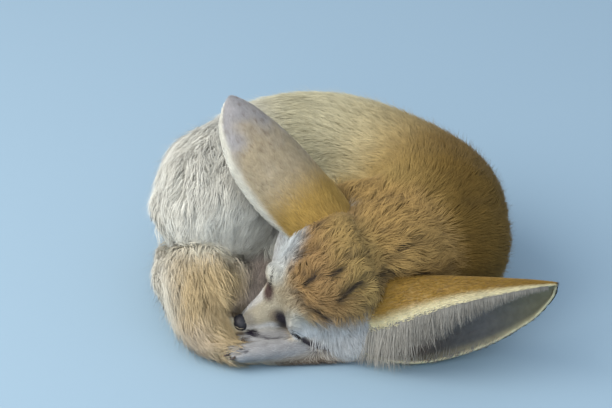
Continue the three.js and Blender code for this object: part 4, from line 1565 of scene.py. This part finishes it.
def path_way(path, shares):
    return unit(smooth_path(path, shares + 0.02) - smooth_path(path, shares - 0.02))


for name, path in EYE_PATHS.items():
    length = np.linalg.norm(path[-1] - path[0])
    print(name, "eye", length.round(1), "mm from corner to corner")

# %% [markdown]
# ## A patch on the skin
# A square grid is first squeezed to a disc, since a round patch has no corners that
# could stick out of the fur. Its columns follow the eye's path and its rows lie on the
# skin. Then it is lifted: most in the middle, less than nothing at its rim and slit.

# %% The patch of the lids
LID_HALF_WIDTH = 4.6
LID_SWELL = 0.9
LID_SLIT_DEPTH = 1.0
LID_SUNK_RIM = 0.9
LID_SLIT_WIDTH = dict(left=0.26, right=0.18)


def lid_patch(name, path):
    """A grid bent to a pair of lids, with its places, ways out, slit and rim values."""
    shape = bmesh.new()
    bmesh.ops.create_grid(shape, x_segments=48, y_segments=30, size=1)
    square = np.array([v.co[:2] for v in shape.verts])
    x = square[:, 0] * np.sqrt(1 - square[:, 1] ** 2 / 2)
    y = square[:, 1] * np.sqrt(1 - square[:, 0] ** 2 / 2)
    spine = smooth_path(path, (x + 1) / 2)
    links = np.array([[e.verts[0].index, e.verts[1].index] for e in shape.edges])
    out = spread(on_skin(spine)[1], links, 30)
    across = unit(np.cross(out, path_way(path, (x + 1) / 2)))
    skin_place, _ = on_skin(spine + across * (y * LID_HALF_WIDTH)[:, None])
    far = x ** 2 + y ** 2
    slit = np.exp(-(y / LID_SLIT_WIDTH[name]) ** 2) * (1 - smooth(np.abs(x), 0.92, 1.0))
    lift = LID_SWELL * (1 - far) - LID_SUNK_RIM * smooth(far, 0.72, 1.0) - LID_SLIT_DEPTH * slit
    return shape, skin_place + unit(out) * lift[:, None], out, slit, far


print("lids", LID_HALF_WIDTH * 2, "mm across")

# %% [markdown]
# ## From patch to lids
# The open patch is faced outwards and thickened, which closes it to one solid leaf. It
# wears the head's own markings, so it melts into the face, with a dark line in the slit.

# %% Meshes of the lids
LID_THICKNESS = 0.8


def lid_mesh(name, shape, top, out, slit):
    """Puts the grid in its place, faces it outwards, thickens and colours it."""
    for vertex, place in zip(shape.verts, top):
        vertex.co = Vector(place * MM)
    bmesh.ops.recalc_face_normals(shape, faces=shape.faces)
    shape.normal_update()
    total_way = sum((face.normal for face in shape.faces), Vector())
    if total_way.dot(Vector(out.mean(0))) < 0:
        bmesh.ops.reverse_faces(shape, faces=shape.faces)
    bmesh.ops.solidify(shape, geom=shape.faces[:], thickness=LID_THICKNESS * MM)
    bmesh.ops.recalc_face_normals(shape, faces=shape.faces)
    mesh = bpy.data.meshes.new(f"lids_{name}")
    shape.to_mesh(mesh)
    shape.free()
    smooth_shaded(mesh)
    colour = blend(head_markings(top) * 0.85, PALETTE["slit"], np.clip(slit * 1.5, 0, 1))
    tree = place_tree(top)
    put_colour(mesh, colour[[tree.find(vertex.co / MM)[1] for vertex in mesh.vertices]])
    return mesh


print("lids", LID_THICKNESS, "mm thick")

# %% [markdown]
# ## Fur and lashes of the lids
# Lids wear the shortest down of the face, so fine that it only blurs their skin. The
# lashes are short and dark. They start in the slit and point down over the cheek.

# %% Fur and lashes of the lids
LID_TUFTS = 1500
LASHES = 110


def grow_lid_fur(name, top, out, slit, far):
    pick = rng.choice(len(top), LID_TUFTS)
    pick = pick[(slit[pick] < 0.08) & (far[pick] < 0.93)]
    count = len(pick)
    up = unit(out)[pick]
    outwards = LEFT * (0.8 if name == "left" else -0.4)
    way = along_surface(unit(-FORWARD[None] + rng.normal(0, 0.3, (count, 3)) + outwards), up)
    start = top[pick] + rng.normal(0, 0.12, (count, 3))
    long = rng.uniform(1.2, 2.2, count)[:, None]
    fluff = head_markings(start) * rng.normal(1, 0.07, count)[:, None]
    tuft_pieces(
        f"lids_{name}_fur", fur, "back_coat", (0.0, 0.5),
        start=start - up * 0.3, bend=start + way * long * 0.4 + up * 0.5,
        tip=start + way * long + up * 0.35, up=up, width=rng.uniform(0.26, 0.36, count),
        root_colour=fluff * 0.9, tip_colour=fluff * 1.06, patch=side_cells(start, up),
    )


def grow_lashes(name, path):
    along = rng.uniform(0.04, 0.97, LASHES)
    start, up = on_skin(smooth_path(path, along))
    way = path_way(path, along)
    down = unit(np.cross(way, up)) * (1 if name == "left" else -1)
    long = rng.uniform(1.4, 2.8, LASHES)[:, None]
    dark = np.tile(PALETTE["slit"], (LASHES, 1))
    tuft_pieces(
        f"lashes_{name}", fur, "back_coat", (0.0, 0.5),
        start=start, bend=start + up * 1.0 + down * long * 0.5,
        tip=start + down * long + up * 0.7 + way * 0.5, up=up, width=np.full(LASHES, 0.26),
        root_colour=dark, tip_colour=dark, patch=side_cells(start, up),
    )


# Lid skin: thin, dry and matt, with creases about 2 mm apart
LID_CREASE = 2.0
lid_skin, tree, shader = new_material("closed_lid_skin", Roughness=0.7)
mottled(tree, shader, LID_CREASE, 0.88, 1.08)
for name, path in EYE_PATHS.items():
    shape, top, out, slit, far = lid_patch(name, path)
    mesh = lid_mesh(name, shape, top, out, slit)
    mesh.materials.append(lid_skin)
    piece = add_object(f"lids_{name}", mesh)
    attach(piece, "root")
    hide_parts(f"eyelids_{name}")
    grow_lid_fur(name, top, out, slit, far)
    grow_lashes(name, path)

# %% [markdown]
# ## Claws
# A fox's claws are short, blunt horn that barely leaves the fur of the toes. Each is a
# slim cone bent downwards along its length, one for every toe of the forepaws.

# %% Claws
CLAW_LENGTH = 3.4
# Horn: hard and smooth, so it has a soft gloss, with spots about 1.4 mm wide
HORN_SPOT = 1.43
horn, tree, shader = new_material("claw_horn", Roughness=0.4)
mottled(tree, shader, HORN_SPOT, 0.8, 1.15)
claw_shape = bmesh.new()
for wrist, toes in PAWS.values():
    forward, across, upward = paw_directions(wrist, toes)
    for step in (-1.5, -0.5, 0.5, 1.5):
        reach = 5.4 - 3 * (abs(step) > 1)
        root = toes + across * step * TOE_SPACING + forward * reach + upward * 0.8
        made = bmesh.ops.create_cone(
            claw_shape, cap_ends=True, segments=10, radius1=0.85, radius2=0.2, depth=CLAW_LENGTH,
        )["verts"]
        for vertex in made:
            x, y, z = vertex.co
            run = z + CLAW_LENGTH / 2
            place = root + across * x + upward * (y * 1.3 - 0.09 * run ** 2) + forward * run
            vertex.co = Vector(place * MM)
bmesh.ops.recalc_face_normals(claw_shape, faces=claw_shape.faces)
claw_mesh = bpy.data.meshes.new("claws")
claw_shape.to_mesh(claw_mesh)
claw_shape.free()
put_colour(claw_mesh, np.tile(PALETTE["claw"], (len(claw_mesh.vertices), 1)))
smooth_shaded(claw_mesh)
claw_mesh.materials.append(horn)
claws = add_object("claws", claw_mesh)
# The record has no slot for horn, so the claws take none
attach(claws, "root")
print("8 claws", len(claw_mesh.polygons), "faces")
